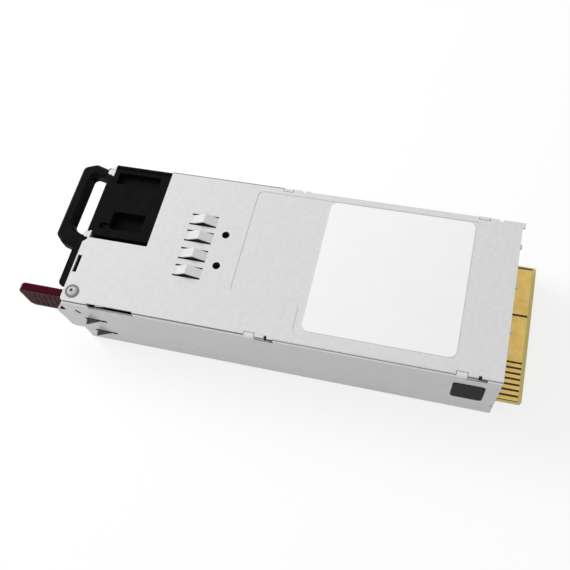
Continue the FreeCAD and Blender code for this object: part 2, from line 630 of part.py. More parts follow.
def front_panel():
    y0, y1 = Y_FRONT, Y_FRONT + SHEET
    panel = prism_y(rect(-X_IN, X_IN, SHEET, Z_LID), [PANEL_R, PANEL_R, 0, 0], y0, y1)
    flange = box(FLANGE_X[0], FLANGE_X[1], y0, y1 + FLANGE_L, Z_LID - SHEET, Z_LID)
    ears = []
    for x0, x1 in PANEL_EARS:
        ear = rect(x0, x1, y0 - PANEL_EAR_L, y1)
        ears.append(prism_z(ear, [PANEL_EAR_R, PANEL_EAR_R, 0, 0], Z_LID - PANEL_EAR_T, Z_LID))
    panel = one([panel, flange] + ears)
    gap = SOCKET_WINDOW_GAP
    cuts = honeycomb(FRONT_VENT_X, FRONT_VENT_Z, y0 - CUT, y1 + CUT)
    cuts += honeycomb(SIDE_VENT_X, SIDE_VENT_Z, y0 - CUT, y1 + CUT)
    cuts.append(box(LEVER_SLOT_X[0], LEVER_SLOT_X[1], y0 - CUT, y1 + CUT, LEVER_SLOT_Z[0], LEVER_SLOT_Z[1]))
    cuts.append(prism_y(socket_points(SOCKET_W / 2 + gap, SOCKET_H / 2 + gap, CAVITY_CHAMFER),
                        0.8, y0 - CUT, y1 + CUT))
    for x0, x1 in PANEL_NOTCHES:
        cuts.append(box(x0, x1, y0 - CUT, y1, PANEL_NOTCH_Z, Z_LID + CUT))
    cuts.append(box(FLANGE_SLOT[0], FLANGE_SLOT[1], y0 + SHEET, y0 + SHEET + FLANGE_SLOT[2],
                    Z_LID - SHEET - CUT, Z_LID + CUT))
    cuts.append(cyl_y(LED_X, LED_Z, y0 - CUT, y1 + CUT, LED_R))
    cuts.append(cyl_z(RIVET_XY[0], RIVET_XY[1], Z_LID - 2 * SHEET, Z_LID + CUT, RIVET_SHANK_R))
    return panel.cut(cuts).removeSplitter()


def rear_panel():
    y0, y1 = Y_REAR - SHEET, Y_REAR
    panel = rect(-X_IN, X_IN, SHEET, Z_LID - RECESS_D)
    panel = prism_y(panel, [PANEL_R, PANEL_R, 0, 0], y0, y1)
    slot = rect(TONGUE_X[0] - 0.5, TONGUE_X[1] + 0.5, PCB_Z - 0.8, PCB_TOP + 1.6)
    cuts = honeycomb(REAR_VENT_X, REAR_VENT_Z, y0 - CUT, y1 + CUT, REAR_HEX_R, REAR_HEX_PITCH)
    cuts.append(prism_y(slot, 0.5, y0 - CUT, y1 + CUT))
    top = Z_LID - RECESS_D
    tabs = []
    for x in REAR_TABS_X:
        half = REAR_TAB[0] / 2
        tabs.append(box(x - half, x + half, y0, y1 + REAR_TAB[1], top - REAR_TAB[2], top))
    return one([panel.cut(cuts)] + tabs)


def cover_rivet():
    """Blind rivet: a flange, a dome and the bore that its mandrel leaves."""
    x, y = RIVET_XY
    top = CASE_H + RIVET_RISE
    rise = RIVET_RISE - RIVET_FLANGE_T
    ball_r = (RIVET_DOME_R ** 2 + rise ** 2) / (2 * rise)
    dome = Part.makeSphere(ball_r, V(x, y, top - ball_r))
    dome = dome.common(cyl_z(x, y, CASE_H + RIVET_FLANGE_T, top + CUT, RIVET_DOME_R))
    flange = cyl_z(x, y, CASE_H, CASE_H + RIVET_FLANGE_T, RIVET_R)
    body = one([dome, flange, cyl_z(x, y, RIVET_SHANK_Z, CASE_H, RIVET_SHANK_R)])
    return body.cut(cyl_z(x, y, top - RIVET_BORE_D, top + CUT, RIVET_BORE_R)).removeSplitter()


def rating_label():
    z = CASE_H - RECESS_D
    return prism_z(rect(LABEL_X[0], LABEL_X[1], LABEL_Y[0], LABEL_Y[1]), LABEL_R, z, z + LABEL_T)


def side_patch():
    points = rect(PATCH_Y[0], PATCH_Y[1], PATCH_Z[0], PATCH_Z[1])
    return prism_x(points, PATCH_R, X_WALL, X_WALL + PATCH_T)


# ---------------------------------------------------------------- bezel and handle

def front_bezel():
    step = Y_FRONT - BEZEL_INLET_T
    front = Y_FRONT - BEZEL_T
    thin = prism_y(rect(BEZEL_X[0], BEZEL_STEP_X + 1, BEZEL_Z[0], BEZEL_Z[1]), [BEZEL_R, 0, 0, BEZEL_R],
                   step, Y_FRONT)
    thick = prism_y(rect(BEZEL_STEP_X, BEZEL_LOW_X, BEZEL_Z[0], BEZEL_Z[1]), [0, BEZEL_R, 0, 0],
                    front, Y_FRONT)
    bar = prism_z(rect(BEZEL_LOW_X - 3, BEZEL_X[1], front, Y_FRONT), [0, 2.2, 0, 0], BEZEL_BAR_Z, BEZEL_Z[1])
    body = one([thin, thick, bar])
    gap = SOCKET_WINDOW_GAP
    cuts = [prism_y(socket_points(SOCKET_W / 2 + gap, SOCKET_H / 2 + gap, CAVITY_CHAMFER), 0.8,
                    front - CUT, Y_FRONT + CUT)]
    columns = [(FRONT_VENT_X[0], GRILLE_RIB_X[0]), (GRILLE_RIB_X[1], FRONT_VENT_X[1])]
    levels = [FRONT_VENT_Z[0]] + GRILLE_RIB_Z + [FRONT_VENT_Z[1]]
    for x0, x1 in columns:
        for low, high in zip(levels[:-1], levels[1:]):
            window = rect(x0, x1, low + GRILLE_RIB_T / 2, high - GRILLE_RIB_T / 2)
            cuts.append(prism_y(window, 0.8, front - CUT, Y_FRONT + CUT))
    cuts.append(cyl_y(LED_X, LED_Z, front - CUT, Y_FRONT + CUT, LED_R))
    cuts.append(box(HANDLE_IN[0][0], HANDLE_IN[-1][0], front - CUT, Y_FRONT - BEZEL_TOP_T,
                    BEZEL_TOP_Z, CASE_H))
    body = body.cut(cuts)
    loop = prism_z(HANDLE_OUT, HANDLE_OUT_R, HANDLE_Z[0], HANDLE_Z[1])
    loop = loop.cut(prism_z(HANDLE_IN, HANDLE_IN_R, HANDLE_Z[0] - CUT, HANDLE_Z[1] + CUT))
    rims = []
    for edge in loop.Edges:
        box_e = edge.BoundBox
        flat = box_e.ZLength < 1e-6
        if flat and box_e.YMax < Y_FRONT + 0.01 and box_e.YMin < Y_FRONT - 0.01:
            rims.append(edge)
    loop = loop.makeChamfer(HANDLE_BREAK, rims)
    return one([body, loop])


def status_led():
    front = Y_FRONT - BEZEL_T - LED_PROUD
    pipe = cyl_y(LED_X, LED_Z, front, front + LED_L, LED_R)
    rim = [e for e in pipe.Edges if abs(e.CenterOfMass.y - front) < 1e-3 and e.BoundBox.YLength < 1e-3]
    return pipe.makeChamfer(0.25, rim)


# ---------------------------------------------------------------- mains inlet

def socket_points(half_w, half_h, chamfer):
    """Outline of a C14 inlet: a rectangle with its two lower corners cut off."""
    x0, x1 = SOCKET_X - half_w, SOCKET_X + half_w
    z0, z1 = SOCKET_Z - half_h, SOCKET_Z + half_h
    return [
        (x0 + chamfer, z0), (x1 - chamfer, z0), (x1, z0 + chamfer),
        (x1, z1), (x0, z1), (x0, z0 + chamfer),
    ]


def ac_inlet_shroud():
    x0, x1 = SHROUD_X
    y0, y1 = SHROUD_Y
    z0, z1 = SHROUD_Z
    shell = box(x0, x1, y0, y1, z0, z1)
    shell = shell.makeFillet(SHROUD_R, edges_along(shell, 2, lambda c: True))
    hollow = box(x0 + SHROUD_WALL, x1 - SHROUD_WALL, y0 - CUT, y1 - SHROUD_WALL, z0 + SHROUD_WALL,
                 z1 - SHROUD_ROOF)
    cuts = [hollow]
    for px0, px1, py0, py1, depth in (POCKET_FAR, POCKET_NEAR, POCKET_STEP):
        cuts.append(prism_z(rect(px0, px1, py0, py1), POCKET_R, z1 - depth, z1 + CUT))
    for x, z in zip(LEAD_X, LEAD_Z):
        cuts.append(cyl_y(x, z, y1 - 2 * SHROUD_WALL, y1 + CUT, LEAD_R))
    lip_x0, lip_x1 = PANEL_NOTCHES[0]
    lip = box(lip_x0 + SHROUD_LIP_GAP, lip_x1 - SHROUD_LIP_GAP, Y_FRONT + SHROUD_LIP_GAP, y0 + CUT,
              z1 - SHROUD_ROOF, z1)
    rim = box(RIM_X[0], RIM_X[1], y0, y1, RIM_Z[0], RIM_Z[1])
    rim = rim.makeFillet(0.5, edges_along(rim, 1, lambda c: c.z > RIM_Z[1] - 0.01))
    return one([shell.cut(cuts), lip, rim])


def ac_inlet_socket():
    front = Y_FRONT - BEZEL_INLET_T
    back = front + SOCKET_DEPTH
    body = prism_y(socket_points(SOCKET_W / 2, SOCKET_H / 2, CAVITY_CHAMFER), 0.8, front, back)
    flange_y = Y_FRONT + SHEET
    rim = prism_y(socket_points(SOCKET_W / 2 + SOCKET_FLANGE, SOCKET_H / 2 + SOCKET_FLANGE, CAVITY_CHAMFER),
                  0.8, flange_y, flange_y + SOCKET_FLANGE_T)
    cavity = prism_y(socket_points(CAVITY_W / 2, CAVITY_H / 2, CAVITY_CHAMFER), 0.6, front - CUT,
                     front + CAVITY_DEPTH)
    cuts = [cavity] + [box(*b) for b in blade_boxes()]
    return one([body, rim]).cut(cuts).removeSplitter()


def blade_boxes():
    """Live, neutral and earth blades: the earth blade sits lower and reaches further out."""
    back = Y_FRONT - BEZEL_INLET_T + SOCKET_DEPTH
    tip = Y_FRONT - BEZEL_INLET_T + CAVITY_DEPTH - BLADE_L
    spots = [(-BLADE_SIDE, BLADE_RISE, 0.0), (BLADE_SIDE, BLADE_RISE, 0.0), (0.0, -BLADE_RISE, 1.5)]
    boxes = []
    for dx, dz, longer in spots:
        x = SOCKET_X + dx
        z = SOCKET_Z + dz
        boxes.append((x - BLADE_W / 2, x + BLADE_W / 2, tip - longer, back + BLADE_TAIL,
                      z - BLADE_H / 2, z + BLADE_H / 2))
    return boxes


def inlet_blades():
    blades = []
    for bounds in blade_boxes():
        blade = box(*bounds)
        tip_edges = edges_along(blade, 2, lambda c: abs(c.y - bounds[2]) < 1e-3)
        blades.append(blade.makeChamfer(0.7, tip_edges))
    return Part.makeCompound(blades)


def rod(points, radius):
    """Insulated wire along a path with mitred corners; its section is a plain polygon."""
    spine = Part.makePolygon(points)
    section = []
    for k in range(LEAD_SIDES + 1):
        turn = math.radians(360.0 * k / LEAD_SIDES)
        section.append(points[0] + V(radius * math.cos(turn), 0, radius * math.sin(turn)))
    return spine.makePipeShell([Part.makePolygon(section)], True, False, 1)


def inlet_leads():
    """Three insulated leads from the blades' tails, past the fan, down to the board."""
    leads = []
    order = sorted(blade_boxes(), key=lambda b: b[0])
    for (x0, x1, y0, y1, z0, z1), x, z in zip(order, LEAD_X, LEAD_Z):
        start = V((x0 + x1) / 2, y1, (z0 + z1) / 2)
        turn_y = SHROUD_Y[1] - LEAD_TURN
        end_y = LEAD_END_Y + len(leads) * LEAD_STEP_Y
        path = [start, V(start.x, y1 + 1.6, start.z), V(x, turn_y, z), V(x, end_y, z), V(x, end_y, PCB_TOP)]
        leads.append(rod(path, LEAD_R))
    return Part.makeCompound(leads)


# ---------------------------------------------------------------- release lever

def release_lever():
    x, y = PIVOT
    blade = prism_x(LEVER_OUT, LEVER_R, LEVER_X[0], LEVER_X[1])
    long_edges = edges_along(blade, 1, lambda c: True)
    blade = blade.makeChamfer(LEVER_EDGE, long_edges)
    hub = cyl_z(x, y, LEVER_Z[0], LEVER_Z[1], HUB_R)
    body = one([blade, hub])
    cuts = [cyl_z(x, y, LEVER_Z[0] - CUT, LEVER_Z[1] + CUT, PIVOT_R + RUN_GAP)]
    low, high = LEVER_Z[0] + 3, LEVER_Z[1] - 3
    for face_x in (LEVER_X[0] - CUT, LEVER_X[1] - GRIP_D):
        for y0 in GRIP_Y:
            groove = [(y0, low), (y0 + GRIP_W, low), (y0 + GRIP_W + GRIP_LEAN, high), (y0 + GRIP_LEAN, high)]
            cuts.append(prism_x(groove, 0, face_x, face_x + CUT + GRIP_D))
    for ry, rz in LATCH_RIVETS:
        cuts.append(cyl_x(ry, rz, LEVER_X[0] - CUT, LEVER_X[1] + CUT, LATCH_RIVET_R))
    return body.cut(cuts).removeSplitter()


def latch_hooks():
    x0 = LEVER_X[1]
    plate = prism_x(LATCH_NECK, [0.8, 0.8, 0.8, 0.8, 0.8, 0.8], x0, x0 + LATCH_T)
    adds = []
    for points, top in zip(HOOKS, HOOK_TOP):
        adds.append(prism_z(points, [0, 0.15, 0.3, 0], top - HOOK_T, top))
    plate = one([plate] + adds)
    return plate.cut([cyl_x(ry, rz, x0 - CUT, x0 + LATCH_T + CUT, LATCH_RIVET_R) for ry, rz in LATCH_RIVETS])


def latch_rivets():
    rivets = []
    for ry, rz in LATCH_RIVETS:
        shank = cyl_x(ry, rz, LEVER_X[0], LEVER_X[1] + LATCH_T + LATCH_RIVET_HEAD, LATCH_RIVET_R)
        plate_x = LEVER_X[1] + LATCH_T
        head = cyl_x(ry, rz, plate_x, plate_x + LATCH_RIVET_HEAD, RIVET_HEAD_SHARE * LATCH_RIVET_R)
        rivets.append(one([shank, head]))
    return Part.makeCompound(rivets)


def lever_pivot_pin():
    x, y = PIVOT
    pin = cyl_z(x, y, PIVOT_Z[0], PIVOT_Z[1], PIVOT_R)
    collar = cyl_z(x, y, SHEET, LEVER_Z[0] - 0.1, PIVOT_R + 1.2)
    return one([pin, collar])


def wire_section(centre, along, across):
    """Points of the spring wire's section: a small polygon, as the wire is very thin."""
    points = []
    for k in range(SPRING_SIDES + 1):
        turn = math.radians(360.0 * k / SPRING_SIDES)
        run = SPRING_WIRE_R * math.cos(turn)
        rise = SPRING_WIRE_R * math.sin(turn)
        points.append(centre + along * run + across * rise)
    return Part.makePolygon(points)


def spring_leg(start, end):
    along = (end - start).cross(V(0, 0, 1))
    along.normalize()
    across = (end - start).cross(along)
    across.normalize()
    return Part.Face(wire_section(start, along, across)).extrude(end - start)


def lever_spring():
    """Torsion spring round the top of the pin: coils, a leg on the lever and a leg on the wall."""
    x, y = PIVOT
    helix = Part.makeHelix(SPRING_PITCH, SPRING_PITCH * SPRING_TURNS, SPRING_COIL_R)
    helix.translate(V(x, y, SPRING_Z))
    start = helix.Vertexes[0].Point
    section = wire_section(start, V(1, 0, 0), V(0, 0, 1))
    coil = Part.Wire(helix.Edges).makePipeShell([section], True, True)
    end = V(x + SPRING_COIL_R, y, SPRING_Z + SPRING_PITCH * SPRING_TURNS)
    top_leg = spring_leg(end, V(SPRING_LEG_END[0], SPRING_LEG_END[1], end.z))
    low_leg = spring_leg(start, V(X_IN - SPRING_WALL_GAP, y - SPRING_LOW_LEG, SPRING_Z + 0.1))
    return one([coil, top_leg, low_leg])


# ---------------------------------------------------------------- fan

def fan_frame():
    half = FAN_SIDE / 2
    y0, y1 = FAN_Y
    body = prism_y(rect(-half, half, FAN_Z - half, FAN_Z + half), FAN_CORNER_R, y0, y1)
    cuts = [cyl_y(0, FAN_Z, y0 - CUT, y1 + CUT, DUCT_R)]
    reach = half - FAN_WAIST * 3
    waist = [(-half - CUT, reach), (-half - CUT, half + CUT), (-reach, half + CUT)]
    for sx in (1, -1):
        for sz in (1, -1):
            points = [(sx * a, FAN_Z + sz * b) for a, b in waist]
            cuts.append(prism_y(points, 0, y0 + FAN_FLANGE, y1 - FAN_FLANGE))
            cuts.append(cyl_y(sx * FAN_HOLE, FAN_Z + sz * FAN_HOLE, y0 - CUT, y1 + CUT, FAN_HOLE_R))
    body = body.cut(cuts)
    base = cyl_y(0, FAN_Z, y1 - BASE_T, y1, BASE_R)
    adds = [base, cyl_y(0, FAN_Z, TUBE_Y[0], y1, TUBE_R)]
    for k in range(STRUTS):
        strut = box(-STRUT_W / 2, STRUT_W / 2, y1 - BASE_T, y1, FAN_Z + 0.5, FAN_Z + DUCT_R + 0.4)
        strut.rotate(V(0, 0, FAN_Z), V(0, 1, 0), 360 / STRUTS * k + 45)
        adds.append(strut)
    body = one([body] + adds)
    return body.cut(cyl_y(0, FAN_Z, TUBE_Y[0] - CUT, SHAFT_Y[1] + 0.4, SHAFT_R + RUN_GAP)).removeSplitter()


def fan_blade():
    """One cambered blade, pitched across the air stream, from inside the hub's wall to its tip."""
    c, s = math.cos(math.radians(BLADE_PITCH)), math.sin(math.radians(BLADE_PITCH))

    def lift(a, b):
        return V(a * c - b * s, BLADE_MID_Y + a * s + b * c, FAN_Z + BLADE_ROOT_R)

    half = BLADE_CHORD / 2
    upper = Part.Arc(lift(-half, 0), lift(0, BLADE_CAMBER + BLADE_T / 2), lift(half, 0)).toShape()
    lower = Part.Arc(lift(half, 0), lift(0, BLADE_CAMBER - BLADE_T / 2), lift(-half, 0)).toShape()
    blade = Part.Face(Part.Wire([upper, lower])).extrude(V(0, 0, BLADE_TIP_R - BLADE_ROOT_R + CUT))
    return blade.common(cyl_y(0, FAN_Z, HUB_Y[0], HUB_Y[1], BLADE_TIP_R))


def fan_rotor():
    hub = cyl_y(0, FAN_Z, HUB_Y[0], HUB_Y[1], HUB_OUT_R)
    nose = [e for e in hub.Edges if e.BoundBox.YLength < 1e-3 and abs(e.CenterOfMass.y - HUB_Y[0]) < 1e-3]
    hub = hub.makeChamfer(HUB_NOSE, nose)
    blade = fan_blade()
    blades = []
    for k in range(BLADES):
        copy = blade.copy()
        copy.rotate(V(0, 0, FAN_Z), V(0, 1, 0), 360.0 / BLADES * k)
        blades.append(copy)
    rotor = one([hub] + blades)
    cuts = [cyl_y(0, FAN_Z, HUB_Y[0] + HUB_FACE_T, HUB_Y[1] + CUT, HUB_IN_R)]
    cuts.append(cyl_y(0, FAN_Z, SHAFT_Y[0], HUB_Y[1], SHAFT_R))
    return rotor.cut(cuts).removeSplitter()


def fan_shaft():
    return cyl_y(0, FAN_Z, SHAFT_Y[0], SHAFT_Y[1], SHAFT_R)


def fan_stator():
    core = cyl_y(0, FAN_Z, STATOR_Y[0], STATOR_Y[1], STATOR_R)
    cuts = [cyl_y(0, FAN_Z, STATOR_Y[0] - CUT, STATOR_Y[1] + CUT, TUBE_R + SEAT_GAP)]
    for k in range(STATOR_SLOTS):
        slot = box(-STATOR_SLOT_W / 2, STATOR_SLOT_W / 2, STATOR_Y[0] - CUT, STATOR_Y[1] + CUT,
                   FAN_Z + STATOR_R - STATOR_SLOT_D, FAN_Z + STATOR_R + CUT)
        slot.rotate(V(0, 0, FAN_Z), V(0, 1, 0), 360 / STATOR_SLOTS * k)
        cuts.append(slot)
    return core.cut(cuts).removeSplitter()


def fan_baffle():
    y0, y1 = BAFFLE_Y, BAFFLE_Y + SHEET
    plate = prism_y(rect(-X_IN, X_IN, SHEET, Z_LID), [PANEL_R, PANEL_R, 0, 0], y0, y1)
    flange = box(-X_IN, X_IN, y0, y1 + BAFFLE_FLANGE_L, Z_LID - SHEET, Z_LID)
    cuts = [cyl_y(0, FAN_Z, y0 - CUT, y1 + CUT, DUCT_R - 0.2)]
    cuts.append(prism_y(rect(BAFFLE_NOTCH_X[0], BAFFLE_NOTCH_X[1], BAFFLE_NOTCH_Z[0], BAFFLE_NOTCH_Z[1]),
                        1.5, y0 - CUT, y1 + CUT))
    for x in BAFFLE_HOLES_X:
        cuts.append(cyl_z(x, BAFFLE_HOLE_Y, Z_LID - SHEET - CUT, Z_LID + CUT, BAFFLE_TAP_R))
    for sx in (1, -1):
        for sz in (1, -1):
            cuts.append(cyl_y(sx * FAN_HOLE, FAN_Z + sz * FAN_HOLE, y0 - CUT, y1 + CUT, FAN_HOLE_R))
    return one([plate, flange]).cut(cuts).removeSplitter()


def fan_screws():
    """Four self-tapping screws through the baffle into the fan frame."""
    screws = []
    for sx in (1, -1):
        for sz in (1, -1):
            x, z = sx * FAN_HOLE, FAN_Z + sz * FAN_HOLE
            shank = cyl_y(x, z, FAN_Y[1] - 8.0, BAFFLE_Y + SHEET, FAN_HOLE_R)
            head_y = BAFFLE_Y + SHEET
            head = cyl_y(x, z, head_y, head_y + FAN_SCREW_HEAD, RIVET_HEAD_SHARE * FAN_HOLE_R)
            screws.append(one([shank, head]))
    return Part.makeCompound(screws)


# ---------------------------------------------------------------- circuit board

def main_pcb():
    y0, y1 = PCB_Y
    tx0, tx1 = TONGUE_X
    points = [(PCB_X[0], y0), (PCB_X[1], y0), (PCB_X[1], y1), (tx1, y1), (tx1, TONGUE_Y), (tx0, TONGUE_Y),
              (tx0, y1), (PCB_X[0], y1)]
    radii = [1.0, 1.0, 0.5, 0, TONGUE_R, TONGUE_R, 0, 0.5]
    board = prism_z(points, radii, PCB_Z, PCB_TOP)
    slit = rect(TONGUE_SLIT_X - TONGUE_SLIT_W / 2, TONGUE_SLIT_X + TONGUE_SLIT_W / 2, TONGUE_SLIT_Y[0],
                TONGUE_SLIT_Y[1])
    cuts = [prism_z(slit, 0.2, PCB_Z - CUT, PCB_TOP + CUT)]
    for x, y in STANDOFF_XY:
        cuts.append(cyl_z(x, y, PCB_Z - CUT, PCB_TOP + CUT, SCREW_HOLE_R))
    return board.cut(cuts).removeSplitter()


def pads(spans):
    """Plated pads on both faces of the tongue."""
    strips = []
    for x0, x1 in spans:
        pad = rect(x0, x1, PAD_Y0, TONGUE_Y - PAD_END)
        strips.append(prism_z(pad, 0, PCB_TOP, PCB_TOP + PAD_T))
        strips.append(prism_z(pad, 0, PCB_Z - PAD_T, PCB_Z))
    return Part.makeCompound(strips)


def power_pads():
    return pads(POWER_PADS)


def signal_pads():
    spans = []
    for k in range(SIGNAL_COUNT):
        x0 = SIGNAL_START + k * SIGNAL_PITCH
        spans.append((x0, x0 + SIGNAL_W))
    return pads(spans)


def pcb_standoffs():
    posts = []
    for x, y in STANDOFF_XY:
        points = []
        for k in range(6):
            turn = math.radians(60 * k)
            points.append((x + STANDOFF_R * math.cos(turn), y + STANDOFF_R * math.sin(turn)))
        post = one([prism_z(points, 0, SHEET, PCB_Z), cyl_z(x, y, 0, SHEET, STANDOFF_FOOT_R)])
        posts.append(post.cut(cyl_z(x, y, PCB_Z - 5.0, PCB_Z + CUT, SCREW_R)).removeSplitter())
    return Part.makeCompound(posts)


def pcb_screws():
    screws = []
    for x, y in STANDOFF_XY:
        head = cyl_z(x, y, PCB_TOP, PCB_TOP + SCREW_HEAD_H, SCREW_HEAD_R)
        shank = cyl_z(x, y, PCB_Z - 4.8, PCB_TOP, SCREW_R)
        screws.append(one([head, shank]))
    return Part.makeCompound(screws)


def insulation_film():
    film = prism_z(rect(PCB_X[0], PCB_X[1], PCB_Y[0], PCB_Y[1]), 1.0, SHEET, SHEET + FILM_T)
    holes = [cyl_z(x, y, 0, SHEET + CUT, STANDOFF_R + FILM_GAP) for x, y in STANDOFF_XY]
    return film.cut(holes).removeSplitter()


# ---------------------------------------------------------------- parts on the board

def ring(x, y, z0, height, r_out, r_in):
    tube = cyl_z(x, y, z0, z0 + height, r_out)
    return tube.cut(cyl_z(x, y, z0 - CUT, z0 + height + CUT, r_in))


def standing(shape, x, y, z):
    """Turns a flat ring about X so that its axle lies along Y."""
    shape.rotate(V(x, y, z), V(1, 0, 0), 90)
    return shape


def emi_choke_core():
    x, y = EMI
    z = PCB_TOP + EMI_BASE[2] + EMI_R[0] + EMI_WIRE
    return standing(ring(x, y, z - EMI_H / 2, EMI_H, EMI_R[0], EMI_R[1]), x, y, z)


def emi_choke_base():
    x, y = EMI
    z = PCB_TOP + EMI_BASE[2] + EMI_R[0] + EMI_WIRE
    saddle = block(x, y, (EMI_SADDLE_W, EMI_H, EMI_BASE[2] + EMI_SADDLE_H), PCB_TOP)
    bed = cyl_y(x, z, y - EMI_H, y + EMI_H, EMI_R[0] + SEAT_GAP)
    return one([block(x, y, EMI_BASE, PCB_TOP), saddle]).cut(bed).removeSplitter()


def winding(x, y, z0, height, r_out, r_in, wire, gap_deg):
    """Two half windings round a ring core, as one shell each."""
    fat = cyl_z(x, y, z0 - wire, z0 + height + wire, r_out + wire)
    fat = fat.cut(cyl_z(x, y, z0 - wire - CUT, z0 + height + wire + CUT, r_in - wire))
    rims = [e for e in fat.Edges if e.BoundBox.ZLength < 1e-3]
    fat = fat.makeChamfer(wire * 0.7, rims)
    gap = SEAT_GAP
    seat = cyl_z(x, y, z0 - gap, z0 + height + gap, r_out + gap)
    seat = seat.cut(cyl_z(x, y, z0 - CUT, z0 + height + CUT, r_in - gap))
    fat = fat.cut(seat)
    reach = r_out + wire + CUT
    wedges = []
    for turn in (90, 270):
        a0 = math.radians(turn - gap_deg / 2)
        a1 = math.radians(turn + gap_deg / 2)
        far = reach / math.cos(math.radians(gap_deg / 2))
        points = [(x, y), (x + far * math.cos(a0), y + far * math.sin(a0)),
                  (x + far * math.cos(a1), y + far * math.sin(a1))]
        wedges.append(prism_z(points, 0, z0 - wire - CUT, z0 + height + wire + CUT))
    return fat.cut(wedges)


def emi_choke_windings():
    x, y = EMI
    z = PCB_TOP + EMI_BASE[2] + EMI_R[0] + EMI_WIRE
    coils = winding(x, y, z - EMI_H / 2, EMI_H, EMI_R[0], EMI_R[1], EMI_WIRE, 70)
    return standing(coils, x, y, z)


def pfc_choke_core():
    z = PCB_TOP + PFC_BASE_T + PFC_WIRE
    return ring(PFC[0], PFC[1], z, PFC_H, PFC_R[0], PFC_R[1])


def pfc_choke_winding():
    z = PCB_TOP + PFC_BASE_T + PFC_WIRE
    return winding(PFC[0], PFC[1], z, PFC_H, PFC_R[0], PFC_R[1], PFC_WIRE, 24)


def pfc_choke_base():
    return cyl_z(PFC[0], PFC[1], PCB_TOP, PCB_TOP + PFC_BASE_T, PFC_R[0])


def x_capacitor():
    body = block(XCAP[0], XCAP[1], XCAP_SIZE, PCB_TOP)
    return body.makeChamfer(0.8, [e for e in body.Edges if e.CenterOfMass.z > PCB_TOP + 0.01])


def y_capacitors():
    discs = []
    for x, y in YCAPS:
        z = PCB_TOP + YCAP_R + 1.0
        disc = cyl_y(x, z, y - YCAP_T / 2, y + YCAP_T / 2, YCAP_R)
        leg = block(x, y, (4.6, 0.9, YCAP_R), PCB_TOP)
        discs.append(one([disc, leg]))
    return Part.makeCompound(discs)


def fuse():
    x, y = FUSE
    z = PCB_TOP + FUSE_CLIP_T + FUSE_R
    body = cyl_y(x, z, y - FUSE_L / 2, y + FUSE_L / 2, FUSE_R - 0.3)
    caps = [cyl_y(x, z, y - FUSE_L / 2 - 0.2, y - FUSE_L / 2 + FUSE_CAP_L, FUSE_R)]
    caps.append(cyl_y(x, z, y + FUSE_L / 2 - FUSE_CAP_L, y + FUSE_L / 2 + 0.2, FUSE_R))
    return one([body] + caps)


def fuse_clips():
    x, y = FUSE
    z = PCB_TOP + FUSE_CLIP_T + FUSE_R
    clips = []
    for end in (-1, 1):
        middle = y + end * (FUSE_L / 2 - FUSE_CAP_L / 2)
        cup = cyl_y(x, z, middle - 1.8, middle + 1.8, FUSE_R + FUSE_CLIP_T)
        cup = one([cup, box(x - 2.5, x + 2.5, middle - 1.8, middle + 1.8, PCB_TOP, PCB_TOP + 2.0)])
        cup = cup.cut([cyl_y(x, z, middle - 3, middle + 3, FUSE_R + SEAT_GAP),
                       box(x - 5, x + 5, middle - 3, middle + 3, z + 1.2, z + 8)])
        clips.append(cup.removeSplitter())
    return Part.makeCompound(clips)


def inrush_relay():
    body = block(RELAY[0], RELAY[1], RELAY_SIZE, PCB_TOP)
    return body.makeChamfer(0.5, [e for e in body.Edges if e.CenterOfMass.z > PCB_TOP + 0.01])


def top_rim(shape):
    """The flat edges at a standing part's highest level."""
    top = shape.BoundBox.ZMax
    return [e for e in shape.Edges if e.BoundBox.ZLength < 1e-3 and abs(e.CenterOfMass.z - top) < 1e-3]


def bulk_capacitors():
    cans = []
    for x, y in BULK:
        can = cyl_z(x, y, PCB_TOP, PCB_TOP + BULK_H, BULK_R)
        can = can.makeChamfer(BULK_LIP, top_rim(can))
        vent = cyl_z(x, y, PCB_TOP + BULK_H - 0.4, PCB_TOP + BULK_H + CUT, BULK_R - 1.8)
        cans.append(can.cut(vent))
    return Part.makeCompound(cans)


def comb(x0, x1, y0, y1, height, base, fins, fin_t):
    """Heat sink with upright fins along Y."""
    solids = [box(x0, x1, y0, y1, PCB_TOP, PCB_TOP + base)]
    step = (x1 - x0 - fin_t) / (fins - 1)
    for k in range(fins):
        start = x0 + k * step
        solids.append(box(start, start + fin_t, y0, y1, PCB_TOP, PCB_TOP + height))
    return one(solids)


def primary_heatsink():
    return comb(PRI_SINK_X[0], PRI_SINK_X[1], PRI_SINK_Y[0], PRI_SINK_Y[1], PRI_SINK_H, PRI_SINK_BASE,
                PRI_FINS, PRI_FIN_T)


def secondary_heatsink():
    return comb(SEC_SINK_X[0], SEC_SINK_X[1], SEC_SINK_Y[0], SEC_SINK_Y[1], SEC_SINK_H, SEC_BASE,
                SEC_FINS, SEC_FIN_T)


def leaded_pack(x0, x1, y, width, z0, height):
    """A flat package standing on its leads."""
    body = box(x0, x1, y - width / 2, y + width / 2, z0 + PACK_LEAD_H, z0 + height)
    body = body.makeChamfer(0.4, edges_along(body, 1, lambda c: c.z > z0 + height - 0.01))
    middle = (x0 + x1) / 2
    leads = []
    for k in (-1, 0, 1):
        lead_y = y + k * PACK_LEAD_PITCH
        leads.append(box(middle - 0.3, middle + 0.3, lead_y - 0.5, lead_y + 0.5, z0, z0 + PACK_LEAD_H + 0.5))
    return one([body] + leads)


def power_transistors():
    """Flat packages clamped to the heat sink's outer fin."""
    x1 = PRI_SINK_X[0]
    packs = []
    for y in PACK_Y:
        packs.append(leaded_pack(x1 - PACK_T, x1, y, PACK_W, PCB_TOP, PACK_H))
    return Part.makeCompound(packs)


def bridge_rectifier():
    x0 = PRI_SINK_X[1]
    return leaded_pack(x0, x0 + PACK_T, BRIDGE_Y, BRIDGE_W, PCB_TOP, BRIDGE_H)


